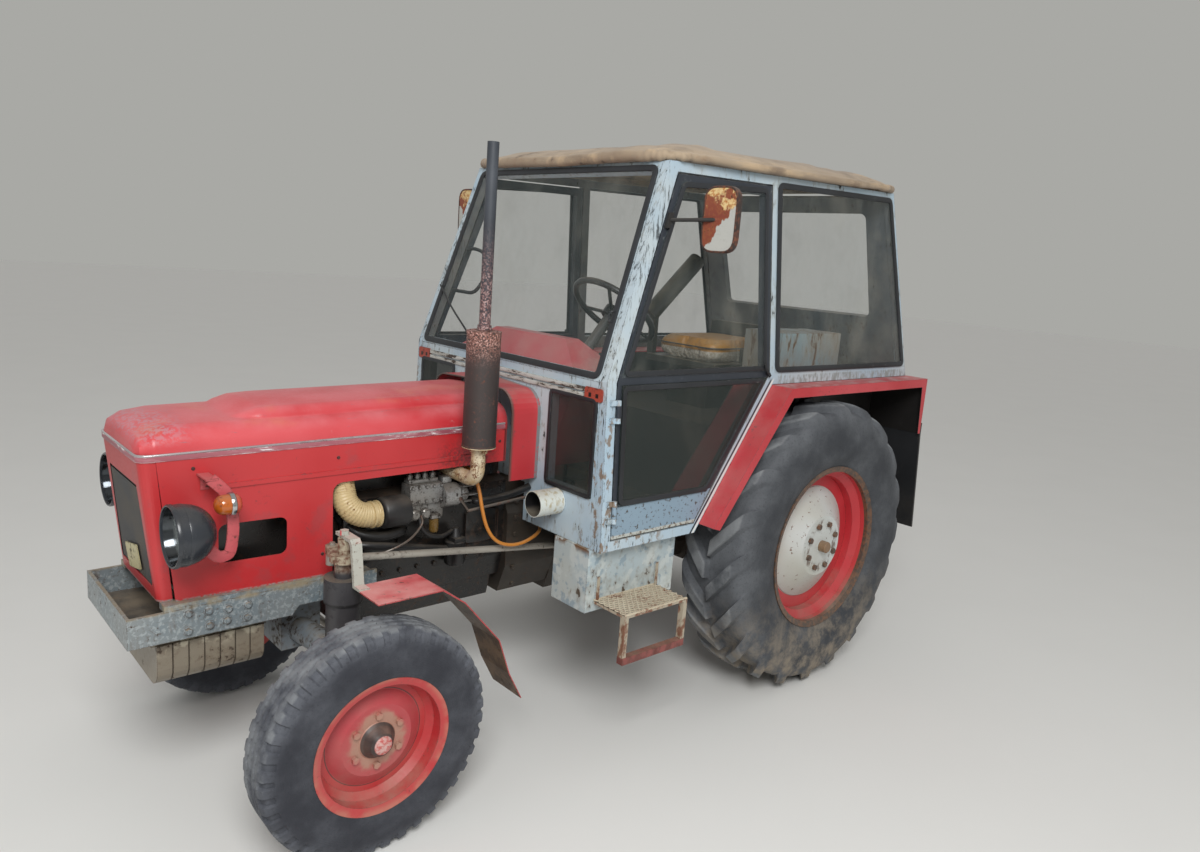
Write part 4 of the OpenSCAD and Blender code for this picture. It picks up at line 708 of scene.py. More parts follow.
# Bonnet
# A pressed steel top with a raised middle, faded pink by the sun, hinged at its front edge. A bright bead and
# a worn band run round its lower edge.
sections = np.array([(2709, 170, 1256, 26), (2699, 196, 1280, 44), (2663, 212, 1302, 60),
                     (2589, 217, 1314, 70), (1450, 268, 1326, 76)])[::-1].T
bulges = np.array([(2709, 50, 1230, 20), (2600, 90, 1268, 24), (2480, 120, 1296, 26), (2430, 142, 1314, 30),
                   (2390, 160, 1332, 36), (2340, 174, 1346, 44), (2270, 179, 1350, 46),
                   (1450, 192, 1360, 50)])[::-1].T


def arch(half, top, r, centre, angle):
    """Distance from a point on the middle plane at the height centre out to an arch, along rays at the given
    angles. The arch is two upright sides, two rounded shoulders and a roof that rises eight millimetres to
    the middle."""
    t, u, foot = np.radians(np.linspace(0, 90, 14)), np.linspace(1, 0, 18)[1:], max(top - 8 - r, centre)
    y = np.concatenate((np.full(12, half), half - r + r * np.cos(t), (half - r) * u))
    z = np.concatenate((np.linspace(centre, foot, 12), foot + (top - 8 - foot) * np.sin(t),
                        top - 8 * u * u)) - centre
    return np.interp(np.minimum(angle, np.pi - angle), np.arctan2(z, y), np.hypot(y, z))


stations = np.concatenate((np.linspace(1450, 2200, 26), np.linspace(2210, 2589, 48),
                           np.linspace(2592, 2709, 24)))
rays, arch_centre = np.linspace(0, np.pi, 161), 1222
reach = np.array([[arch(*(np.interp(x, form[0], form[k]) for k in (1, 2, 3)), arch_centre, rays)
                   for form in (sections, bulges)] for x in stations])
reach = np.log(np.exp(reach / 2).sum(1)) * 2
grid = np.stack((np.broadcast_to(stations[:, None], reach.shape), reach * np.cos(rays),
                 arch_centre + reach * np.sin(rays)), -1)
# The front end is closed by rings that shrink to a point
middle = (0, 0, arch_centre)
grid = np.concatenate((grid, [(grid[-1] - middle) * (1, share, share) + middle
                              for share in np.linspace(0.93, 0, 6)]))
top = weathered("bonnet_red", "bd3238", "cd5156", "a59a9c", 0.2, size=0.012, edge=0.1, stain="c86a6c",
                dust="d68186", dusty=0.45, rough=(0.34, 0.55), relief=0.0004)
top.cover("a9909a", top.x.rise(2.52, 2.66) * top.fine.rise(0.44, 0.56) * top.z.rise(1.24, 1.30) * 0.7)
top.cover("cf7a52", top.noise(0.25, 4, 0.6, shift=2).rise(0.52, 0.66) * top.looks("Z").rise(0.5, 0.9) * 0.35)
top.cover("8f6a70", top.noise(0.02, 6, 0.7, (4, 1, 1), 8).rise(0.62, 0.7) * 0.5)
hood = skin("bonnet_top", [grid], top, "red_paint", "hood")
solid = hood.modifiers.new("sheet", "SOLIDIFY")
solid.thickness = 0.003
solid.offset = -1
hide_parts("hood")
corner = np.radians(np.linspace(90, 0, 8))
left_edge = [(x, panel_side(x)) for x in np.linspace(1462, 2675, 18)]
left_edge = np.concatenate((left_edge, np.stack((2679 + 30 * np.cos(corner), 182 + 30 * np.sin(corner)), -1)))
edge = np.concatenate((left_edge, left_edge[::-1] * (1, -1)))
slope = 1214 + (nose_tip - edge[:, :1]) * 0.018
band = weathered("worn_band", "8f4a55", "a2616a", "d9d2d2", 0.52, size=0.012, edge=0.1, streaks=(5, 5, 1),
                 stain="b98a90", dusty=0.2)
skin("bonnet_band", [carried(np.hstack((edge, slope)), plate(5, 17, 1))], band, "red_paint", "hood")
bead = weathered("bright_bead", "c5c1c2", "a9a0a2", "7a4a50", 0.42, size=0.01, edge=0, streaks=(4, 4, 1),
                 dusty=0.1, rough=(0.25, 0.6), metal=0.5)
skin("bonnet_bead", [carried(np.hstack((edge, slope + 11)), circle(4.2, 10))], bead, "steel", "hood")

# Exhaust
# An upright silencer on an elbow from the manifold, rusty and burnt dark, with a thin black stack up to the
# roof.
burnt = weathered("burnt_steel", "2f2928", "3c3331", "6a4538", 0.4, size=0.012, stain="5a3c34", dust="8a6a58",
                  dusty=0.4, rough=(0.55, 0.85), relief=0.0009)
pits = burnt.noise(0.006, 6, 0.7, shift=2)
burnt.cover(burnt.mix("8a5a4e", "c9a49a", pits.rise(0.52, 0.6)),
            burnt.z.rise(1.47, 1.60) * burnt.z.rise(1.66, 1.63) * pits.rise(0.42, 0.52))
burnt.cover(burnt.mix("2f343b", "484d54", burnt.cloud.rise(0.35, 0.65)), burnt.z.rise(1.60, 1.63))
burnt.cover(burnt.mix("7a4a44", "b09a98", pits.rise(0.5, 0.62)),
            burnt.z.rise(1.60, 1.61) * burnt.z.rise(2.0, 1.64) * pits.rise(0.45, 0.55))
lower_coat = burnt.mix("c9bda2", "b29a72", burnt.noise(0.05, 4).rise(0.35, 0.65))
worn_off = (pits * 0.6 + burnt.noise(0.03, 5, shift=5) * 0.4).rise(0.5, 0.58)
burnt.cover(burnt.mix(lower_coat, "6b4026", worn_off), burnt.z.rise(1.197, 1.195))
paint_node("exhaust", burnt)
stack = np.array((1640, 362, 0))
collars = ((1176, [(0, 26), (0, 31), (12, 31), (12, 26), (0, 26)]),
           (1130, [(0, 26), (0, 28.5), (3, 28.5), (3, 26), (0, 26)]),
           (1193, [(0, 40), (0, 61.5), (9, 61.5), (9, 40), (0, 40)]),
           (1596, [(0, 50), (0, 61.5), (10, 61.5), (12, 52), (8, 50), (0, 50)]),
           (1608, [(0, 20), (0, 26), (18, 24), (18, 20), (0, 20)]))
rings = [turned(profile, stack + (0, 0, z), (0, 0, 1), 28) for z, profile in collars]
skin("exhaust_collars", rings + hexagons([(1640, 395, 1182)], (0, 1, 0), 8, 14), burnt, "rusty_steel")

# Headlamps
# Black steel bowls with a thin worn rim, a silvered inside and clear glass. A red strip holds each bowl and,
# behind it, a small indicator with an amber dome, a chrome ring and an orange dome.
lamp_black = weathered("lamp_black", "24272b", "30343a", "8a8a88", 0.26, size=0.03, edge=0.05,
                       streaks=(1, 1, 3), stain="4a4d50", dusty=0.15, rough=(0.25, 0.55))
silvered = weathered("silvered", "c9cccb", "aeb2b2", "75746c", 0.3, edge=0, dusty=0.1, rough=(0.12, 0.35),
                     metal=0.8)
dull_mirror = weathered("dull_reflector", "3b3f43", "505457", "2a2a29", 0.4, edge=0, dusty=0.1,
                        rough=(0.1, 0.4), metal=0.9)
lens = weathered("lamp_glass", "cfd8d8", "b9c2c2", "8f8a7d", 0.2, edge=0, rough=(0.04, 0.2), Alpha=0.25)
strip_red = weathered("strip_red", "b0404a", "c0585c", "6a3a34", 0.38, size=0.01, dusty=0.3)
orange = weathered("amber_dome", "b8611c", "a34e18", "6f3010", 0.3, size=0.01, edge=0, dusty=0.2,
                   rough=(0.12, 0.35), Coat_Weight=0.4)
rear_orange = weathered("rear_dome", "c2553c", "b04a38", "7a3526", 0.2, size=0.01, edge=0, dusty=0.3,
                        rough=(0.2, 0.45))
chrome = weathered("chrome_ring", "b9bcbd", "9a9c9c", "6a5f58", 0.3, size=0.01, edge=0, dusty=0.1,
                   rough=(0.12, 0.4), metal=0.9)


def pair(profile, sides, x, y, z):
    """A round part of the lamps on either side: a profile of distance back from its place and of radius."""
    return [turned(profile, (x, side * y, z), (-1, 0, 0), sides) for side in (1, -1)]


lever = smooth([(2537, 300, 1163), (2512, 300, 1138), (2491, 300, 1111), (2479, 300, 1071), (2473, 300, 1026),
                (2474, 300, 981), (2480, 300, 940), (2490, 300, 922), (2520, 300, 922), (2556, 300, 962)], 4)
strips = []
for side in (1, -1):
    low, high = sorted((side * 219.5, side * 322))
    bar = [(2534, side * 219.5, 1160), (2534, side * 304, 1160)]
    tab = [(2528, side * 220.5, 1150), (2528, side * 220.5, 1110)]
    strips += [carried(lever * (1, side, 1), plate(36, 5, 1), (0, 1, 0)),
               carried(bar, plate(36, 5, 1), (0, 0.001, 1)), carried(tab, plate(3, 26, 1), (1, 0, 0)),
               block((2566, low, 990), (2606, high, 1034))]
lamp, light = (2664, 348, 1020), (2536, 322, 1086)
bowl = [(-3, 86), (-4, 90), (0, 93), (8, 93), (9, 90.5), (30, 91), (31, 90), (33, 91), (62, 85), (80, 77),
        (94, 67), (106, 54), (116, 38), (121, 18), (122, 0), (104, 0), (90, 60), (60, 80), (10, 86), (-3, 86)]
reflector = [(4, 85), (30, 80), (58, 66), (80, 40), (88, 0), (92, 0), (84, 42), (60, 70), (32, 84), (4, 86),
             (4, 85)]
glass = [(20, 0), (22, 40), (30, 79.5), (33, 79.5), (25, 40), (23, 0)]
indicator = [(0, 0), (1, 10), (5, 19), (12, 26), (22, 30), (40, 31), (44, 31), (44, 0)]
ring = [(43, 28), (43, 34), (47, 36), (55, 36), (58, 33), (58, 28), (43, 28)]
dome = [(57, 0), (57, 31), (68, 29), (76, 20), (80, 0)]
lamps = [skin("lamp_" + part, shells, finish, slot) for part, shells, finish, slot in (
    ("bowls", pair(bowl, 56, *lamp), lamp_black, "black_metal"),
    ("reflectors", pair(reflector, 48, *lamp), dull_mirror, "steel"),
    ("glasses", pair(glass, 48, *lamp), lens, "pane"), ("brackets", strips, strip_red, "red_paint"),
    ("indicators", pair(indicator, 32, *light), orange, "black_plastic"),
    ("rings", pair(ring, 32, *light), chrome, "steel"),
    ("domes", pair(dome, 32, *light), rear_orange, "black_plastic"))]
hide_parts("headlamps")

# Cowl
# The red hoop that closes the gap between the bonnet and the cab, with a dull grey edge, and the hump over
# the pedals.
hoop = weathered("cowl_red", "b32d34", "bd3f44", "5a4a48", 0.22, edge=0.15, dust="a8918a", dusty=0.5,
                 rough=(0.35, 0.65))
hoop.cover("77797b", hoop.x.between(1.300, 1.319, 0.002) * hoop.fine.rise(0.3, 0.5))
hoop.cover("5b4a44", hoop.x.rise(1.425, 1.438))
hoop.cover("b0666a", hoop.x.rise(1.300, 1.29) * 0.45)
paint_node("cowl", hoop)

# Cab frame
# Welded tube and folded sheet, painted pale blue and flaking to dark primer, most of all on the front posts.
cab = weathered("cab_paint", "a6bccb", "bac6cb", "36393b", 0.42, size=0.016, edge=0.14, streaks=(1, 1, 2.6),
                stain="8a8678", dust="a59a88", dusty=0.5, rough=(0.45, 0.85))
flakes = cab.noise(0.012, 7, 0.7, (1, 1, 6), 4)
post = cab.x.rise(0.98, 1.02) * abs(cab.y).rise(0.55, 0.57)
cab.cover("33373a", flakes.rise(0.59, 0.64) * post)
cab.cover("3e4448", flakes.rise(0.51, 0.58) * post * cab.z.between(1.75, 2.12, 0.12) * 0.75)
cab.cover("7b6248", cab.noise(0.03, 6, 0.65, (1, 1, 2), 6).rise(0.54, 0.6) * post * cab.z.rise(1.6, 1.2)
          * 0.85)
door_slant = 0.7692
edge_line = cab.x - 0.350 - (1.408 - cab.z) * door_slant
low_rear = cab.z.rise(1.44, 1.42) * abs(cab.y).rise(0.60, 0.61) * cab.x.rise(0.9, 0.89)
cab.cover("dfe0dc", low_rear * edge_line.between(0.006, 0.018))
cab.cover("26292c", low_rear * edge_line.between(0.021, 0.032))
cab.cover("8f9695", cab.z.between(1.40, 1.445, 0.004) * cab.x.rise(0.33, 0.31) * cab.fine.rise(0.4, 0.6))
# Painted shade: faces inside the cab, those that look in towards its middle or forwards at its back, are
# painted dark grey-brown.
shaded_inner_faces = (cab.looks("Y") * cab.y).rise(-0.15, -0.4)
shaded_inner_faces = shaded_inner_faces | (cab.looks("X").rise(0.5, 0.8) * cab.x.rise(0.9, 0.8))
shaded_inner_faces = shaded_inner_faces | (abs(cab.y).rise(0.5, 0.48) * cab.x.rise(0.2, 0.1))
cab.cover(cab.mix("5c574e", "3f3c38", cab.noise(0.1, 5, shift=2).rise(0.35, 0.65)), shaded_inner_faces * 0.85)
duct = cab.node("VectorMath", {"operation": "DISTANCE"},
                {0: cab.node("CombineXYZ", {}, {1: cab.y, 2: cab.z}), 1: (0, 0.415, 0.964)}, "Value")
cab.cover(cab.mix("cfd3cd", "b3a98f", cab.fine.rise(0.5, 0.62)),
          duct.rise(0.053, 0.051) * cab.x.rise(1.306, 1.308))
# Painted shade: the duct's mouth is painted near black.
cab.cover("141415", duct.rise(0.0475, 0.0465) * cab.x.rise(1.309, 1.311))
for name in ("cab_sides", "cab_front", "cab_rear"):
    paint_node(name, cab)
black_trim = weathered("black_gasket", "1b1d20", "2a2d31", "5a5c5a", 0.3, size=0.02, edge=0.05,
                       stain="34363a", dust="6f6a60", dusty=0.3, rough=(0.5, 0.85))
# The cab's sides lean in from their foot, and the windscreen is raked back from its own
cab_turn, side_foot_y, side_foot_z = np.radians(2.9), 676, 846
shield_foot_x, shield_foot_z, shield_run, shield_rise = 1304.3, 1456, 262, 792


def leaning(outline, out, side):
    """Points given ahead of the rear axle and up the cab's leaning side, set out from it, on the left or the
    right."""
    x, z = np.asarray(outline, float).T
    up = z - side_foot_z
    y = side_foot_y + out * np.cos(cab_turn) - up * np.sin(cab_turn)
    return np.stack((x, side * y, side_foot_z + out * np.sin(cab_turn) + up * np.cos(cab_turn)), -1)


def rounded_path(corners, radius, steps=6):
    """A closed line with rounded corners: at each corner the curve (1-t)^2 a + 2t(1-t) c + t^2 b, where a and
    b lie on its two sides at the radius from the corner c."""
    c = np.asarray(corners, float)
    a, b = c + unit(np.roll(c, 1, 0) - c) * radius, c + unit(np.roll(c, -1, 0) - c) * radius
    t = np.linspace(0, 1, steps)[None, :, None]
    line = ((1 - t) ** 2 * a[:, None] + 2 * t * (1 - t) * c[:, None] + t ** 2 * b[:, None]).reshape(-1, 3)
    return np.concatenate((line, line[:1]))


def windscreen(points, out):
    """Points across and up the raked windscreen, set out from it."""
    tilt = np.arctan2(shield_run, shield_rise)
    y, h = np.asarray(points, float).T
    x = shield_foot_x + out * np.cos(tilt) - h * np.sin(tilt)
    return np.stack((x, y, shield_foot_z + out * np.sin(tilt) + h * np.cos(tilt)), -1)


shield_normal = np.array((shield_rise, 0, shield_run)) / np.hypot(shield_rise, shield_run)
quarter = [(394, 2228), (-460, 2250), (-705, 1472), (329, 1472)]
rear_lo, rear_hi = space("rear_pane")
rear_normal = unit(np.array((-(rear_hi[2] - rear_lo[2]), 0, rear_hi[0] - rear_lo[0])))
rear_edge = np.array([(rear_lo[0], -1, rear_lo[2]), (rear_hi[0], -1, rear_hi[2]), (rear_hi[0], 1, rear_hi[2]),
                      (rear_lo[0], 1, rear_lo[2])]) * (1, rear_hi[1], 1)
gaskets = [carried(rounded_path(windscreen([(-592, 12), (592, 12), (554, 802), (-554, 802)], 4), 26),
                   plate(24, 9, 3), shield_normal),
           carried(rounded_path(rear_edge + rear_normal * 2, 26), plate(22, 9, 3), rear_normal)]
for side in (1, -1):
    side_normal = (0, side * np.cos(cab_turn), np.sin(cab_turn))
    gaskets += [carried(rounded_path(leaning(quarter, 4, side), 22), plate(24, 9, 3), side_normal),
                carried(rounded_path([(cab_face, side * y, z)
                                      for y, z in ((340, 1022), (598, 1022), (598, 1380), (340, 1380))], 18),
                        plate(17, 8, 3), (1, 0, 0))]
skin("window_gaskets", gaskets, black_trim, "rubber")
peeling = weathered("peeling_white", "c9ccc9", "b5b6b0", "4a3f38", 0.6, size=0.014, edge=0.1,
                    streaks=(1, 4, 1), stain="8a7f70", dusty=0.3)
skin("windscreen_strips", [carried([(cab_face, -540, z), (cab_face, 530, z)], plate(6, 17, 2))
                           for z in (1414, 1392)], peeling, "cab_paint")
tabs = weathered("bracket_red", "a5483a", "a3402f", "5a2c20", 0.5, size=0.01, stain="7a3a2c", dusty=0.2)
# Painted shade: two near-black discs on each bracket stand in for its bolt holes.
holes = abs(tabs.z - 1.3985)
tabs.cover("1c1412", (abs(abs(tabs.y) - 0.565) | holes).rise(0.0085, 0.0070))
tabs.cover("1c1412", (abs(abs(tabs.y) - 0.603) | holes).rise(0.0085, 0.0070))
skin("corner_brackets", [carried([(1304.5, side * 583, 1402), (1310.5, side * 583, 1402)], plate(96, 48, 8),
                                 (0, 0, 1)) for side in (1, -1)], tabs, "red_paint")
wiper = windscreen([(-588, 262), (-440, 170), (-290, 88), (-250, 60), (-240, 40)],
                   np.array((16, 18, 16, 8, 4)))
loop = windscreen([(-560, 455), (-500, 462), (-405, 435), (-362, 350), (-400, 268), (-500, 260), (-570, 262)],
                  -46)
hook = windscreen([(580, 250), (578, 252), (572, 244), (570, 226), (576, 214), (580, 214)],
                  np.array((2, 14, 20, 20, 14, 2)))
fittings = [carried(smooth(wiper), circle(4, 8), (0, 0.3, 1)),
            carried(smooth(loop), circle(8, 10), (1, 0, 0)), carried(smooth(hook), circle(3, 8), (0, 1, 0.2))]
skin("cab_fittings", fittings, black_trim, "black_metal")

# Doors
# Steel doors hung on the front posts, nearly black round their panes and blue-grey below, with a small black
# handle.
door = weathered("door_paint", "262b33", "31373f", "6f7474", 0.34, size=0.016, edge=0.12, stain="4a4f54",
                 dust="7d7668", dusty=0.4)
door.cover(door.mix(door.mix("7d92a4", "8aa0ae", door.cloud), "4c4a46",
                    (door.fine + door.edges() * 0.2).rise(0.56, 0.62)), door.z.rise(1.004, 1.0))
door.cover(door.mix("b3b7b2", "6a5a4a", door.fine.rise(0.5, 0.6)), door.z.rise(0.888, 0.884))


def slant(z, out):
    """How far ahead of the rear axle the door's slanting rear edge stands at a height, and out ahead of
    it."""
    return 350 + (1408 - z) * door_slant + out * 1.2616


door_panes = ([(1220, 1482), (966, 2170), (478, 2198), (415, 1482)],
              [(1220, 1006), (1220, 1430), (slant(1430, 70), 1430), (slant(1006, 70), 1006)])
for side, hand in ((1, "left"), (-1, "right")):
    paint_node("door_" + hand, door)
    side_normal = (0, side * np.cos(cab_turn), np.sin(cab_turn))
    seals = [carried(rounded_path(leaning(outline, 4.5, side), 20), plate(20, 9, 3), side_normal)
             for outline in door_panes]
    handle = carried(leaning([(386, 1447), (400, 1462), (418, 1484), (424, 1500)], 13, side), plate(14, 8, 3),
                     side_normal)
    pivot = carried([leaning([(392, 1456)], out, side)[0] for out in (3, 14)], circle(8, 10), (1, 0, 0))
    skin("door_trim_" + hand, seals + [handle, pivot], black_trim, "rubber", "door_" + hand)

# Mirrors
# Rusty pressed shells with a brown rim, on bent arms that the doors carry. The mirror glass faces the driver.
rust_rim = weathered("mirror_rim", "2e2724", "43302a", "7a4a36", 0.5, size=0.012, edge=0.1, dusty=0.3)
for side, hand in ((1, "left"), (-1, "right")):
    rust = weathered("mirror_rust_" + hand, "7d3a2c", "8a4a30", "3c2820", 0.5, size=0.012, stain="a5683a",
                     dusty=0.2, rough=(0.5, 0.85))
    rust.cover(rust.mix("d9c08a", "b5763c", rust.fine.rise(0.45, 0.62)),
               (rust.noise(0.06, 4, 0.6, shift=1) + (rust.z - 2.046) * 2.2).rise(0.58, 0.66)
               * rust.x.rise(0.965, 0.970))
    rust.cover(rust.mix("a9aca8", "c4c2ba", rust.cloud),
               ((2.02 - rust.z) * 9 + (rust.y * side - 0.80) * 9 + rust.noise(0.05, 3) - 0.5).rise(0.0, 0.06)
               * rust.x.rise(0.965, 0.970) * (abs(rust.y) > 0.72))
    rust.cover("2b2a29", abs(rust.y).rise(0.722, 0.718) | rust.x.rise(0.9735, 0.975))
    paint_node("mirror_" + hand, rust)
    shell = rounded_path([(961, side * (800 + y), 2046 + z)
                          for y, z in ((-75, -112), (75, -112), (75, 112), (-75, 112))], 52)
    skin("mirror_rim_" + hand, [carried(shell, plate(8, 26, 3), (1, 0, 0))], rust_rim, "black_metal",
         "door_" + hand)
    outline = shell[:, 1:] - (side * 800, 2046)
    glass = np.stack([np.insert(outline * share + (side * 800, 2046), 0, x, 1)
                      for x, share in ((949.5, 0), (949.5, 0.93), (947, 0.93), (947, 0))])
    skin("mirror_glass_" + hand, [glass], silvered, "pane", "door_" + hand)

# Panes
# Flat safety glass held in black rubber, dusty round its edges.
pane = Finish("dusty_glass", IOR=1.45, Specular_IOR_Level=0.4)
smear = pane.noise(0.22, 6, 0.65, stretch=(1, 1, 2)).rise(0.42, 0.85)
# Painted shade: panes below 1.45 m are painted dark and made more opaque, standing in for the shade inside
# the cab behind them.
low = pane.z.rise(1.46, 1.44)
pane.close(pane.mix(pane.mix("7d8a88", "b0aea2", smear), "1f2523", low * 0.9), 0.07 + smear * 0.3, 0.0)
pane.tree.links.new((0.06 + smear * 0.12 + low * 0.42).socket, pane.shader.inputs["Alpha"])
for name in ("windshield", "front_panes", "quarter_panes", "rear_pane", "door_glass_left",
             "door_glass_right"):
    paint_node(name, pane)

# Cab floor, pedals and gear lever
# A chequered steel floor under worn mats. Three pedals and the gear lever stand on it ahead of the seat.
deck = weathered("floor_grey", "4c4a46", "5c564e", "33281f", 0.45, dust="7d7262", dusty=0.9)
deck.cover(deck.mix("8d9a9f", "a5acab", deck.cloud), abs(deck.y).rise(0.45, 0.46) * deck.z.rise(0.86, 0.88))
paint_node("cab_floor", deck)
controls = weathered("control_black", "1f2022", "2c2d2f", "6a655c", 0.35, size=0.01, dusty=0.5)
pedals = [block((964, y - 28, 946), (1030, y + 28, 954), 3) for y in (150, -120, -190)]
pedals += [carried([(1000, y, 840), (1000, y, 950)], circle(9, 12), (1, 0, 0)) for y in (150, -120, -190)]
gear_rod = carried(smooth([(970, 62, 840), (972, 62, 980), (962, 58, 1100), (940, 48, 1180)]), circle(8, 12),
                   (1, 0, 0))
gear_knob = turned([(0, 0), (2, 12), (12, 19), (26, 18), (36, 8), (38, 0)], (938, 47, 1172), (-0.3, -0.1, 1))
skin("pedals_and_lever", pedals + [gear_rod, gear_knob], controls, "black_metal")
paint_node("steering_column", weathered("column_grey", "3a3b3c", "4b4a47", "5a5550", 0.3, dusty=0.6))
paint_node("steering_wheel", weathered("steering_plastic", "1d1e20", "292a2c", "4a4744", 0.15,
                                       rough=(0.35, 0.6)))

# Rear locker and seat base
# A sheet locker behind the seat, once cream and blue-grey, and the seat's black frame with its folded
# armrest.
locker = weathered("locker_paint", "9a958a", "8aa0a6", "6b5440", 0.5, size=0.03, streaks=(1, 1, 3),
                   stain="8a7457", dusty=0.7)
paint_node("rear_locker", locker)
frame_black = weathered("seat_black", "26241f", "37332c", "6b5f4c", 0.35, size=0.02, stain="5a4f3c",
                        dust="8a7d66", dusty=0.6)
paint_node("seat_base", frame_black)

# Seat cushion
# A foam pad in worn golden vinyl on a white base cloth, crowned in the middle and drawn in at its piped
# seams. It is swollen by a cloth simulation from a slightly smaller shape.
lo, hi = space("seat_cushion")
centre, size = (lo + hi) / 2, (hi - lo) / 2
tilt, ring = np.meshgrid(np.linspace(-np.pi / 2, np.pi / 2, 29), np.linspace(-np.pi, np.pi, 97),
                         indexing="ij")


def power(t, p):
    """A power that keeps the sign, which squares a circle's corners where p is small."""
    return np.sign(t) * np.abs(t) ** p


pad = np.stack((power(np.cos(tilt), 0.35) * power(np.cos(ring), 0.3),
                power(np.cos(tilt), 0.35) * power(np.sin(ring), 0.3), power(np.sin(tilt), 0.55)), -1)
vinyl = weathered("seat_vinyl", "c08a34", "b07c30", "6b5a3c", 0.3, size=0.01, edge=0, stain="8f6a30",
                  dust="b9a88a", relief=0.0008)
vinyl.cover(vinyl.mix("cfcabd", "a59a86", vinyl.fine.rise(0.4, 0.6)), vinyl.z.rise(1.486, 1.480))
pores = vinyl.node("Mapping", {}, {0: vinyl.place, 3: (260, 260, 260)})
grain = vinyl.node("TexVoronoi", {}, {"Vector": pores, "Scale": 1.0}, "Distance")
vinyl.fine = vinyl.fine * 0.5 + grain * 0.5
cushion = skin("seat_pad", [centre + pad * size * (0.97, 0.965, 0.9)], vinyl, "seat_foam")
remesh = cushion.modifiers.new("voxels", "REMESH")
remesh.mode, remesh.voxel_size = "VOXEL", 0.006
cloth = cushion.modifiers.new("cloth", "CLOTH")
cloth.settings.use_pressure, cloth.settings.uniform_pressure_force = True, 4
cloth.settings.effector_weights.gravity = 0
scene = bpy.context.scene
for step in range(1, 21):
    scene.frame_set(step)
swollen = bpy.data.meshes.new_from_object(cushion.evaluated_get(bpy.context.evaluated_depsgraph_get()))
cushion.modifiers.clear()
scene.frame_set(1)
points = np.empty(len(swollen.vertices) * 3)
swollen.vertices.foreach_get("co", points)
# No point leaves the cushion's own space
points = np.clip(points.reshape(-1, 3), mm(lo + 1), mm(hi - 1))
swollen.vertices.foreach_set("co", points.ravel())
swollen.materials.clear()
swollen.materials.append(vinyl.done())
swollen.polygons.foreach_set("use_smooth", np.ones(len(swollen.polygons), bool))
cushion.data = swollen
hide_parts("seat_cushion")
band_height = centre[2] + size[2] * 0.28
piping_line = np.stack((centre[0] + size[0] * 0.968 * power(np.cos(ring[0]), 0.3),
                        centre[1] + size[1] * 0.962 * power(np.sin(ring[0]), 0.3), np.full(97, band_height)),
                       -1)
piping_line[-1] = piping_line[0]
skin("seat_piping", [carried(piping_line, circle(3.5, 8))], frame_black, "seat_foam")

# Roof canvas
# A tan tarpaulin drawn over the roof and tied down round the rail, with its edge rolled. The front roll sags
# in the middle.
slope = np.arctan2(38, 1532)
long, wide = 1606, 1280
turn = np.array(((np.cos(slope), 0, np.sin(slope)), (0, 1, 0), (-np.sin(slope), 0, np.cos(slope))))


def on_roof(points):
    """Points back from the roof's front edge, across it and up from its rail, put on the sloping roof."""
    return points @ turn.T + (1076, 0, 2246.6 - 34 * np.tan(slope))


# Rays run from the middle of the roof out to its edge; share is how far along them, 0 to 1
share, ring = np.linspace(0, 1, 81)[:, None], np.linspace(0, 2 * np.pi, 289)[None, :]
across, along = power(np.cos(ring), 0.18), power(np.sin(ring), 0.18)
rise = np.interp(share, (0, 0.35, 0.7, 0.86, 0.94, 0.985, 1), (115, 110, 86, 66, 46, 26, 12))
x, y = -share * long / 2 * across - long / 2, share * wide / 2 * along
# Creases that run across the roof and shallow hollows between its hoops
sag = 5 * np.sin(x / 58 + 2 * np.sin(y / 170)) + 3 * np.sin(x / 23 + 3 * np.sin(y / 120))
sag = sag + 3.5 * np.sin(y / 43 + x / 150)
sag = sag * share * (1 - share) * 3 - 6 * np.exp(-((x + 500) / 150) ** 2) * (1 - share ** 2)
canvas = on_roof(np.stack(np.broadcast_arrays(x, y, rise + sag), -1))
tan = weathered("roof_canvas", "a5937c", "8e7b66", "67543f", 0.46, size=0.05, edge=0, streaks=(3, 1, 1),
                stain="8a6f54", dust="b8a48a", dusty=0.5, rough=(0.8, 0.95), relief=0.0025, Sheen_Weight=0.2)
tan.cover("c0a684", tan.noise(0.09, 6, 0.65, (4, 1, 1), 5).rise(0.52, 0.68) * 0.7)
tan.cover("6d5a48", tan.noise(0.16, 6, 0.7, (1, 2.5, 1), shift=8).rise(0.5, 0.68) * 0.65)
warp, weft = (tan.node("TexWave", {"bands_direction": way},
                       {"Vector": tan.place, "Scale": 160.0, "Distortion": 0.6}, "Fac") for way in "XY")
tan.fine = tan.fine + (warp + weft) * 0.08
roof = skin("roof_tarpaulin", [canvas], tan, "roof_canvas")
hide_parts("roof_cover")
turning = np.linspace(0, 2 * np.pi, 361)
back_x = -long / 2 - (long / 2 - 12) * power(np.cos(turning), 0.16)
side_y = (wide / 2 - 12) * power(np.sin(turning), 0.16)
front = np.clip((back_x + 60) / 50, 0, 1)
hem_height = 17 - 9 * front * np.exp(-((side_y + 60) / 190) ** 2) + 1.5 * np.sin(turning * 23)
hem_line = np.stack((back_x - 4 * front, side_y, hem_height), -1)
hem_line[-1] = hem_line[0]
lumps = 1 + 0.12 * np.sin(turning * 41) * np.sin(turning * 17) + 0.45 * front
lumps = lumps - 0.35 * front * np.exp(-((side_y + 60) / 40) ** 2)
hem = skin("roof_hem", [carried(on_roof(hem_line), circle(15.5, 14), swell=lumps)], tan, "roof_canvas")
areas = np.empty(len(roof.data.polygons))
roof.data.polygons.foreach_get("area", areas)
float(areas.sum())
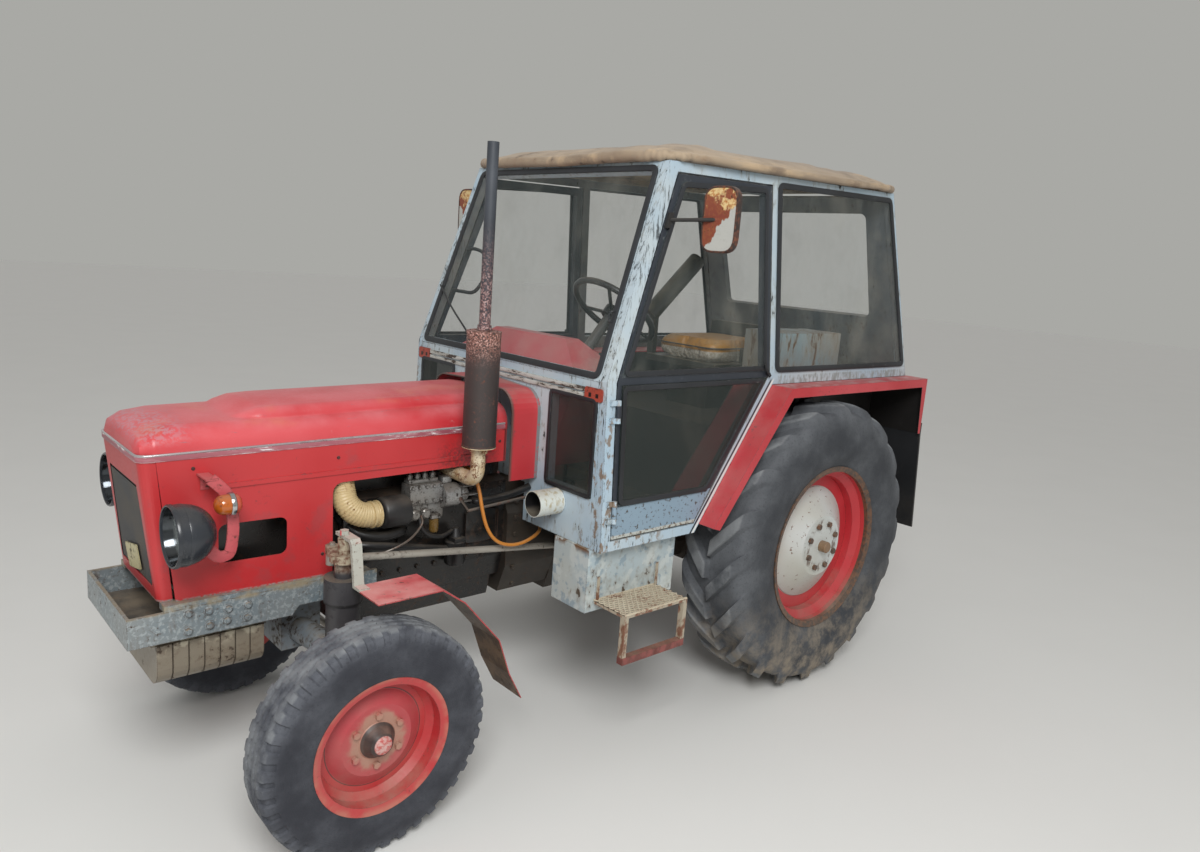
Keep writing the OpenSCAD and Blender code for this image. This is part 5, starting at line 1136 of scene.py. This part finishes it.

# Rear wings and mud flaps
# Folded wings over the rear tyres, red outside, with painted shade in near black on their undersides and
# inner faces. A lamp stands on each rear drop and a rubber flap hangs behind.
wings = weathered("rear_wing_red", "b52f36", "c2484e", "6b4a4c", 0.3, size=0.012, stain="93363a",
                  dust="a8928a", dusty=0.4)
# Painted shade: the wings' undersides, the inner faces of their rear drops and their inner parts low down are
# painted near black.
shaded_inside = wings.looks("Z").rise(-0.1, -0.3) | (wings.looks("X").rise(0.4, 0.7) * wings.x.rise(-0.7, -0.74))
shaded_inside = shaded_inside | (abs(wings.y).rise(0.462, 0.456) * wings.z.rise(1.404, 1.40))
wings.cover(wings.mix("17181a", "26221f", wings.cloud), shaded_inside)
wings.cover("c9a5a8", wings.looks("Z").rise(0.8, 0.95) * wings.z.rise(1.39, 1.40)
            * wings.noise(0.05, 5).rise(0.45, 0.65) * 0.6)
paint_node("rear_wings", wings)
paint_node("mud_flaps", weathered("flap_rubber", "1f2022", "2b2c2e", "4a4640", 0.2, dust="7d7466",
                                  low_dust=0.6))
lamp_red = weathered("tail_lamp_red", "8f1c1e", "a02826", "4a1a18", 0.15, size=0.01, edge=0, dusty=0.2,
                     rough=(0.15, 0.4))
tail_profile = [(0, 0), (0, 40), (8, 40), (10, 37), (28, 36), (35, 30), (36, 0)]
skin("tail_lamps", [turned(tail_profile, (-789, side * 682, 1318), (-1, 0, 0), 32) for side in (1, -1)],
     lamp_red, "black_plastic")

# Step boxes and steps
# Folded sheet boxes under the doors, patched and peeling, each with a step of expanded metal on two legs and
# a rung.
box = weathered("step_paint", "a2b4bd", "b4bab6", "54483c", 0.5, size=0.03, edge=0.16, streaks=(1, 1, 1.6),
                stain="8a8070", dust="a0947e", dusty=0.4)
box.cover("c3c9c6", box.noise(0.07, 5, 0.6, shift=3).rise(0.5, 0.6) * 0.7)
box.cover("7f93a0", box.noise(0.05, 5, 0.6, shift=7).rise(0.56, 0.62) * 0.7)
box.cover("6b4a2c", box.z.rise(0.80, 0.83) * box.noise(0.06, 4, shift=5).rise(0.46, 0.52))
outer = abs(box.y).rise(0.632, 0.634)
box.cover(box.mix("a99f8c", "7a5440", box.fine.rise(0.46, 0.56)), outer)
box.cover(box.mix("8a4a44", "6a3a34", box.fine.rise(0.4, 0.6)), outer * box.z.rise(0.466, 0.462))
# Painted shade: the tops of the step plates, under the strands of expanded metal, are painted near black,
# standing in for the shade seen through it.
box.cover("2a221d", outer * box.looks("Z").rise(0.8, 0.9) * box.z.rise(0.61, 0.62))
paint_node("step_boxes", box)
strand_x = np.linspace(950, 1272, 57)
zigzag = 5.5 * np.where(np.arange(57) % 4 < 2, 1, -1)
strands = [carried(np.stack((strand_x, side * (y + zigzag * (1 if k % 2 else -1)), np.full(57, 628.5)), -1),
                   plate(3.6, 5, 1), (0, 0, 1)) for side in (1, -1)
           for k, y in enumerate(np.arange(640, 800, 14.5))]
rims = [carried([(948, side * y, 628), (1274, side * y, 628)], plate(5, 8, 1), (0, 0, 1)) for side in (1, -1)
        for y in (631, 801)]
strand_paint = weathered("strand_cream", "d3cab4", "beb29a", "7a4632", 0.42, size=0.014, edge=0.05,
                         stain="8f5f48", dusty=0.2)
skin("step_treads", strands + rims, strand_paint, "galvanised")

# Studio
# A plain pale floor and soft light from all round, with one broad lamp. The camera sees the world in a darker
# tone than the one that lights the tractor.
floor_paint = Finish("studio_floor")
floor_paint.close(floor_paint.mix("e4e4e1", "e0e0dd", floor_paint.noise(0.6, 3)), 0.9)
floor = bpy.data.objects.new("studio_floor", bpy.data.meshes.new("studio_floor"))
floor.data.from_pydata([(-40, -40, 0), (40, -40, 0), (40, 40, 0), (-40, 40, 0)], [], [(0, 1, 2, 3)])
floor.data.materials.append(floor_paint.material)
bpy.context.scene.collection.objects.link(floor)
world = bpy.data.worlds.new("studio")
bpy.context.scene.world = world
world.use_nodes = True
sky = world.node_tree.nodes["Background"]
seen = world.node_tree.nodes.new("ShaderNodeBackground")
pick = world.node_tree.nodes.new("ShaderNodeMixShader")
sky.inputs[0].default_value, sky.inputs[1].default_value = (1.0, 0.99, 0.97, 1), 0.5
seen.inputs[0].default_value, seen.inputs[1].default_value = shade("a9a9a5"), 1
path = world.node_tree.nodes.new("ShaderNodeLightPath")
for start, end in ((path.outputs["Is Camera Ray"], pick.inputs[0]), (sky.outputs[0], pick.inputs[1]),
                   (seen.outputs[0], pick.inputs[2]),
                   (pick.outputs[0], world.node_tree.nodes["World Output"].inputs[0])):
    world.node_tree.links.new(start, end)
key = bpy.data.objects.new("key_lamp", bpy.data.lights.new("key_lamp", "AREA"))
key.data.shape, key.data.size, key.data.energy = "DISK", 2.6, 270
spot = np.array((3.2, 4.2, 4.6))
toward = unit(-spot)
aside = unit(np.cross(toward, (0, 0, 1)))
put(key, spot, aside, np.cross(aside, toward), -toward)
bpy.context.scene.view_settings.view_transform = "Standard"
